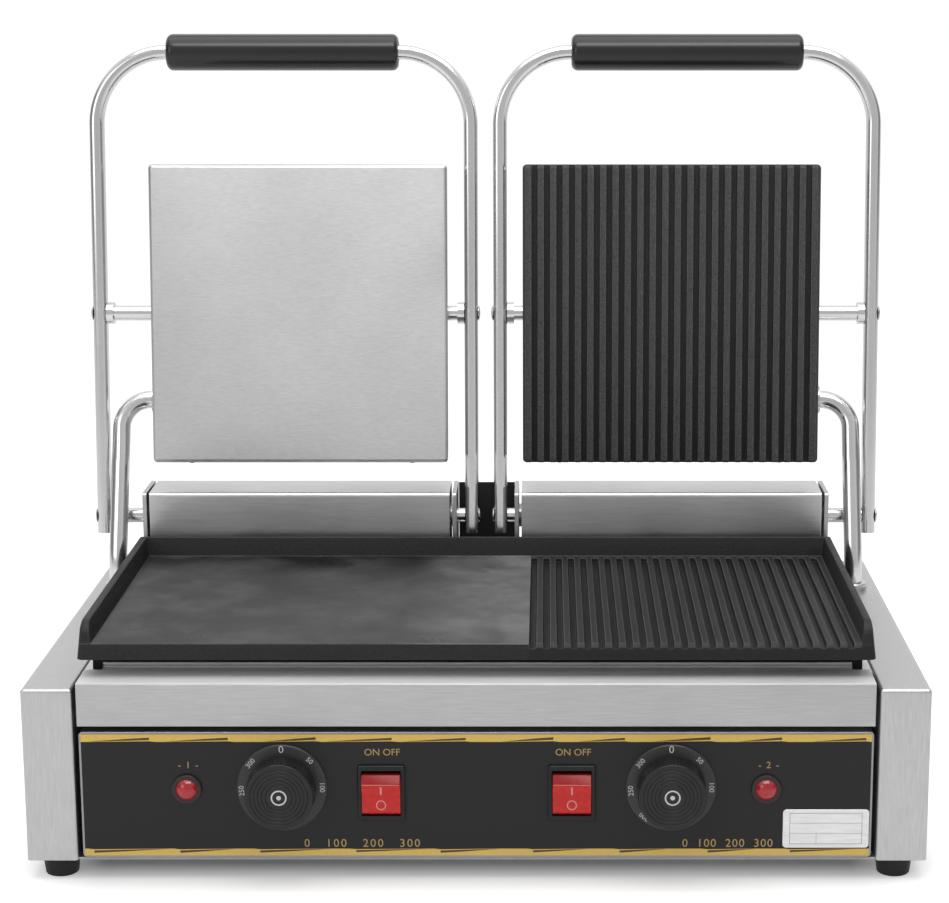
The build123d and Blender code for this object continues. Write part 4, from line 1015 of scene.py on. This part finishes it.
stripe_length = face_high.x - face_low.x
half_turn = Matrix.Rotation(math.pi, 4, "Z")
stripe_parts = (("stripes", gold_ink, gold_stripe), ("stripe_shades", dark_gold_ink, stripe_shades))
for name, finish, build in stripe_parts:
    upper = stripe_mesh(f"{name}_upper", build, 5.0 * MM, 10, 4)
    lower = stripe_mesh(f"{name}_lower", build, 4.5 * MM, 9, 9)
    upper.transform(front_place(face_low.x, face_low.y, face_high.z))
    lower.transform(front_place(face_high.x, face_low.y, face_low.z) @ half_turn)
    add_piece(name, merged(name, [upper, lower]), finish, "face_sheet")
print("stripes of", round(stripe_length, 4))

# %% [markdown]
# ## Words on the face
# The face carries plain words and numbers in small gold print: on and off over each switch, a
# number over each lamp, and the range of the dials.

# %% Face print
switch_low, switch_high = corners_of("switch_housings")
lamp_high = corners_of("lamp_bezels")[1]
switch_x, lamp_x = switch_high.x - 14.95 * MM, lamp_high.x - 9.6 * MM
range_z = face_low.z + 8.0 * MM
words = []
for number, side in (("1", -1), ("2", 1)):
    words.append((f"-  {number}  -", 3.9 * MM, side * lamp_x + 1.2 * MM, lamp_high.z + 6.0 * MM, 0.95))
    words.append(("ON OFF", 4.0 * MM, side * switch_x + 0.8 * MM, switch_high.z + 8.2 * MM, 0.98))
words.append(("0   100   200   300", 4.8 * MM, -72.6 * MM, range_z, 1.24))
words.append(("0  100  200  300", 4.8 * MM, 158.6 * MM, range_z, 1.12))
printed_words = [
    laid(lettering(body, height, gap), front_place(x, face_low.y, z)) for body, height, x, z, gap in words
]
add_piece("face_print", merged("face_print", printed_words), letter_gold, "face_sheet")
print("printed", len(words), "plain marks on the face")

# %% [markdown]
# ## A plain label plate
# A thin silver plate is glued to the lower right of the face. Its field is left bare but for a
# fine frame and a few ruled lines, as on a plate that was never filled in.

# %% Label plate
label_size, label_thick, label_corner = (54.4 * MM, 25.5 * MM), 0.35 * MM, 2.2 * MM
label_place = front_place(220.6 * MM, face_low.y, face_low.z + 18.0 * MM)


def rounded_box(work):
    """The plate: a flat box with round corners, lying in XY."""
    outline = []
    across, up = (size / 2 - label_corner for size in label_size)
    for cx, cy, start in ((1, 1, 0), (-1, 1, 90), (-1, -1, 180), (1, -1, 270)):
        outline += arc((cx * across, cy * up), label_corner, start, start + 90, 5)
    flat_piece(work, outline, 0.0, label_thick)


def ruled_lines(work):
    """A frame of four thin bars and three short lines, standing a hair above the plate."""
    for x, y, width, height in (
        (0, 10.2, 46, 0.35), (0, -10.2, 46, 0.35), (-22.8, 0, 0.35, 20), (22.8, 0, 0.35, 20),
        (0, 3.6, 46, 0.25), (0, -3.2, 46, 0.25), (-6, -6.7, 0.25, 7),
    ):
        shift = Matrix.Translation((x * MM, y * MM, label_thick))
        size = Matrix.Diagonal((width * MM, height * MM, 0.05 * MM, 1))
        bmesh.ops.create_cube(work, size=1.0, matrix=shift @ size)


label_parts = (("label_plate", rounded_box, label_silver), ("label_lines", ruled_lines, grey_ink))
for name, build, finish in label_parts:
    add_piece(name, mesh_of(name, build), finish, "face_sheet", label_place)
print("label plate of", [round(v, 4) for v in label_size])

# %% [markdown]
# ## Marks on the rockers
# Each rocker has a pale line for on and a ring for off. They are printed on a face that is bent
# and tilted, so their points are first laid out flat, then lifted onto the two slopes of the
# rocker, and last turned with it about its pin.

# %% Rocker marks
rocker_tilt, pin_depth, rocker_half = math.radians(11), 4.0 * MM, 10.3 * MM
line_slices, ring_sides = 7, 32


def rocker_height(up):
    """How far the rocker's face stands out from its pin, at a height above the pin."""
    return (4.0 + 2.2 + 2.3 * min(abs(up) / rocker_half, 1.0)) * MM


def marks_flat(work):
    """The line, the pale band along the top edge and the ring, flat, with many short sides; the pale band is
    a painted highlight.
    """
    def mark(points):
        flat_piece(work, [(x * MM, y * MM) for x, y in points], 0.0, ink)

    for i in range(line_slices):
        low, high = 1.5 + 0.9 * i, 2.4 + 0.9 * i
        mark(((-0.55, low), (0.55, low), (0.55, high), (-0.55, high)))
    # A pale band along the top edge: a painted highlight.
    mark(((-11.6, 9.3), (11.6, 9.3), (11.6, 9.7), (-11.6, 9.7)))
    for i in range(ring_sides):
        a, b = math.tau * i / ring_sides, math.tau * (i + 1) / ring_sides
        corners = ((2.5, a), (3.15, a), (3.15, b), (2.5, b))
        mark([(r * math.cos(t), -5.5 + r * math.sin(t)) for r, t in corners])


for word, side in SIDES:
    mesh = mesh_of(f"{word}_rocker_marks", marks_flat)
    for vertex in mesh.vertices:
        vertex.co.z += rocker_height(vertex.co.y)
    pin = Vector((side * switch_x, switch_low.y + pin_depth, (switch_low.z + switch_high.z) / 2))
    place = Matrix.Translation(pin) @ Matrix.Rotation(math.pi / 2 + rocker_tilt, 4, "X")
    add_piece(f"{word}_rocker_marks", mesh, pink_ink, f"{word}_rocker", place)
print("marked both rockers")

# %% [markdown]
# ## Domed screws
# Shaft and rod are held between the legs by domed screws. One screw head is built, with a
# six-sided recess, and a tree of Geometry Nodes copies it to a list of seats. Each seat is a
# point with a direction, and the copies are realized at the end.

# %% The tree that seats screws
def make_screw_seats():
    tree, takes, gives = new_shape_tree("screw_seats", {"Head": OBJECT, "Size": FLOAT})
    facing = put(tree, "GeometryNodeInputNamedAttribute", {"Name": "facing"}, data_type="FLOAT_VECTOR")
    turn = put(tree, "FunctionNodeAlignRotationToVector", {"Vector": facing.outputs["Attribute"]}, axis="Z")
    head = put(tree, "GeometryNodeObjectInfo", {"Object": takes["Head"]}).outputs["Geometry"]
    seats = {"Points": takes["Geometry"], "Rotation": turn.outputs[0], "Scale": takes["Size"]}
    copies = put(tree, "GeometryNodeInstanceOnPoints", {**seats, "Instance": head})
    return end_shape_tree(tree, takes, gives, copies.outputs[0])


def hexagon(turn, across):
    """A point on a hexagon at an angle from its middle."""
    local = (turn % (math.pi / 3)) - math.pi / 6
    radius = across / math.cos(local)
    return radius * math.cos(turn), radius * math.sin(turn)


def screw_head(sides=24):
    """A domed head of radius one with a six-sided recess, seated at zero."""
    turns = [math.tau * i / sides for i in range(sides)]
    dome = ((1.0, 0.0), (1.0, 0.05), (0.93, 0.14), (0.78, 0.21), (0.60, 0.26))
    rims = [[(radius * math.cos(t), radius * math.sin(t), height) for t in turns] for radius, height in dome]
    rims += [[(*hexagon(t, 0.42), height) for t in turns] for height in (0.27, 0.10)]

    def build(work):
        loops = [[work.verts.new(point) for point in rim] for rim in rims]
        for outer, inner in zip(loops, loops[1:]):
            for i in range(sides):
                j = (i + 1) % sides
                work.faces.new((outer[i], outer[j], inner[j], inner[i]))
        work.faces.new(loops[-1])
        work.faces.new(loops[0][::-1])
    return smooth(mesh_of("screw_head", build), 40)


screw_seats = make_screw_seats()
screw_master = new_object("screw_master", screw_head())
screw_radius = 5.6 * MM
for word, side in SIDES:
    node = f"{word}_arm_screws"
    frame_low, frame_high = corners_of(f"{word}_handle_frame")
    seats, ways = [], []
    for held in (middle(f"{word}_hinge_shaft"), middle(f"{word}_cross_rod")):
        for x, way in ((frame_low.x, -1.0), (frame_high.x, 1.0)):
            seats.append((x, held.y, held.z))
            ways += [way, 0.0, 0.0]
    points = bpy.data.meshes.new(f"{node}_seats")
    points.from_pydata(seats, [], [])
    points.attributes.new("facing", "FLOAT_VECTOR", "POINT").data.foreach_set("vector", ways)
    values = {"Head": screw_master, "Size": screw_radius, "Finish": screw_steel}
    mesh = run_tree(f"{node}_set", screw_seats, points, values)
    replace_node(node, mesh, screw_steel)
    print(word, "arm screws:", len(mesh.polygons), "faces")
bpy.data.objects.remove(screw_master)

# %% [markdown]
# ## The camera
# The photograph was taken from a little above, from the middle of the front, with a long lens.
# The upright edges of the grill stay upright in it, and the side walls run towards a point right
# of the middle, which a small sideways shift of the lens gives.

# %% Camera
pitch = math.radians(11.85)
camera_data = bpy.data.cameras.new("camera")
camera = new_object("camera", camera_data)
camera_data.sensor_width = 36.0
camera_data.lens = 88.3
camera_data.shift_x = -0.0753
camera_data.clip_end = 50.0
camera.location = (43.7 * MM, front_y - 1390.5 * MM, deck_z + 443.6 * MM)
camera.rotation_euler = (math.pi / 2 - pitch, 0.0, 0.0)
bpy.context.scene.camera = camera
print("camera at", tuple(round(v, 3) for v in camera.location))

# %% [markdown]
# ## Floor, room and lamps
# The floor is a wide pale sheet. Part of what the camera sees of it is its own white, so that it
# runs into the white room without a line, and the rest is light that the grill can shade. Under
# the grill and close to it that white goes out in a soft box round the footprint, a painted shadow
# that lets the real shade show, so that the feet stand in a darker patch.

# %% Stage
def make_floor():
    bpy.ops.mesh.primitive_plane_add(size=30.0)
    floor = bpy.context.object
    floor.name = "floor"
    material, tree, shader, place = start_finish("pale_floor")
    join(tree, shader, Base_Color=grey(0.86), Roughness=0.9, Specular_IOR_Level=0.0)
    rays = put(tree, "ShaderNodeLightPath").outputs
    parts = parts_of(tree, place)
    # A soft box round the footprint where the floor's own white goes out: a painted shadow.
    across = between(tree, maths(tree, "ABSOLUTE", parts["X"]), 1.0, 0.0, 0.24, 0.31)
    ahead = between(tree, maths(tree, "ABSOLUTE", parts["Y"]), 1.0, 0.0, 0.13, 0.19)
    share = between(tree, times(tree, across, ahead), 0.60, 0.0, 0.0, 1.0)
    mirrored = times(tree, rays["Is Glossy Ray"], 0.34)
    strength = times_plus(tree, rays["Is Camera Ray"], share, mirrored)
    glow = put(tree, "ShaderNodeEmission", {"Color": grey(1.0), "Strength": strength})
    both = put(tree, "ShaderNodeAddShader", {0: shader.outputs[0], 1: glow.outputs[0]})
    tree.links.new(both.outputs[0], tree.nodes["Material Output"].inputs["Surface"])
    floor.data.materials.append(material)


def make_room():
    world = bpy.data.worlds.new("room")
    bpy.context.scene.world = world
    world.use_nodes = True
    tree = world.node_tree
    tree.nodes.clear()
    rays = put(tree, "ShaderNodeLightPath").outputs
    parts = parts_of(tree, put(tree, "ShaderNodeTexCoord").outputs["Generated"])
    front = between(tree, parts["Y"], 0.62, 1.0, -0.9, 0.3)
    card = between(tree, maths(tree, "ABSOLUTE", parts["X"]), 1.0, 0.30, 0.80, 0.93)
    not_glossy = maths(tree, "SUBTRACT", 1.0, rays["Is Glossy Ray"])
    lighting = times(tree, not_glossy, 0.50)
    soft = times_plus(tree, rays["Is Glossy Ray"], times(tree, front, card), lighting)
    straight = maths(tree, "ADD", rays["Is Camera Ray"], rays["Is Transmission Ray"])
    strength = maths(tree, "MAXIMUM", soft, maths(tree, "MINIMUM", straight, 1.0))
    sky = put(tree, "ShaderNodeBackground", {"Color": grey(1.0), "Strength": strength})
    put(tree, "ShaderNodeOutputWorld", {"Surface": sky.outputs[0]})


def make_lamp(name, place, target, size, power, only_mirrored=False):
    light = bpy.data.lights.new(name, "AREA")
    light.shape = "RECTANGLE"
    light.size, light.size_y = size
    light.energy = power
    lamp = new_object(name, light)
    lamp.location = place
    lamp.rotation_euler = (Vector(target) - Vector(place)).to_track_quat("-Z", "Y").to_euler()
    lamp.visible_diffuse = not only_mirrored


make_floor()
make_room()
make_lamp("overhead", (0.0, -0.1, 1.9), (0.0, 0.05, 0.1), (2.2, 1.6), 16.0)
make_lamp("front_left", (-1.6, -1.7, 1.1), (0.0, 0.0, 0.2), (1.2, 1.2), 7.0)
make_lamp("high_front", (0.2, -0.95, 2.0), (0.0, 0.1, 0.45), (1.8, 0.6), 16.0, only_mirrored=True)
bpy.context.scene.view_settings.view_transform = "Standard"
print("stage and lamps ready")
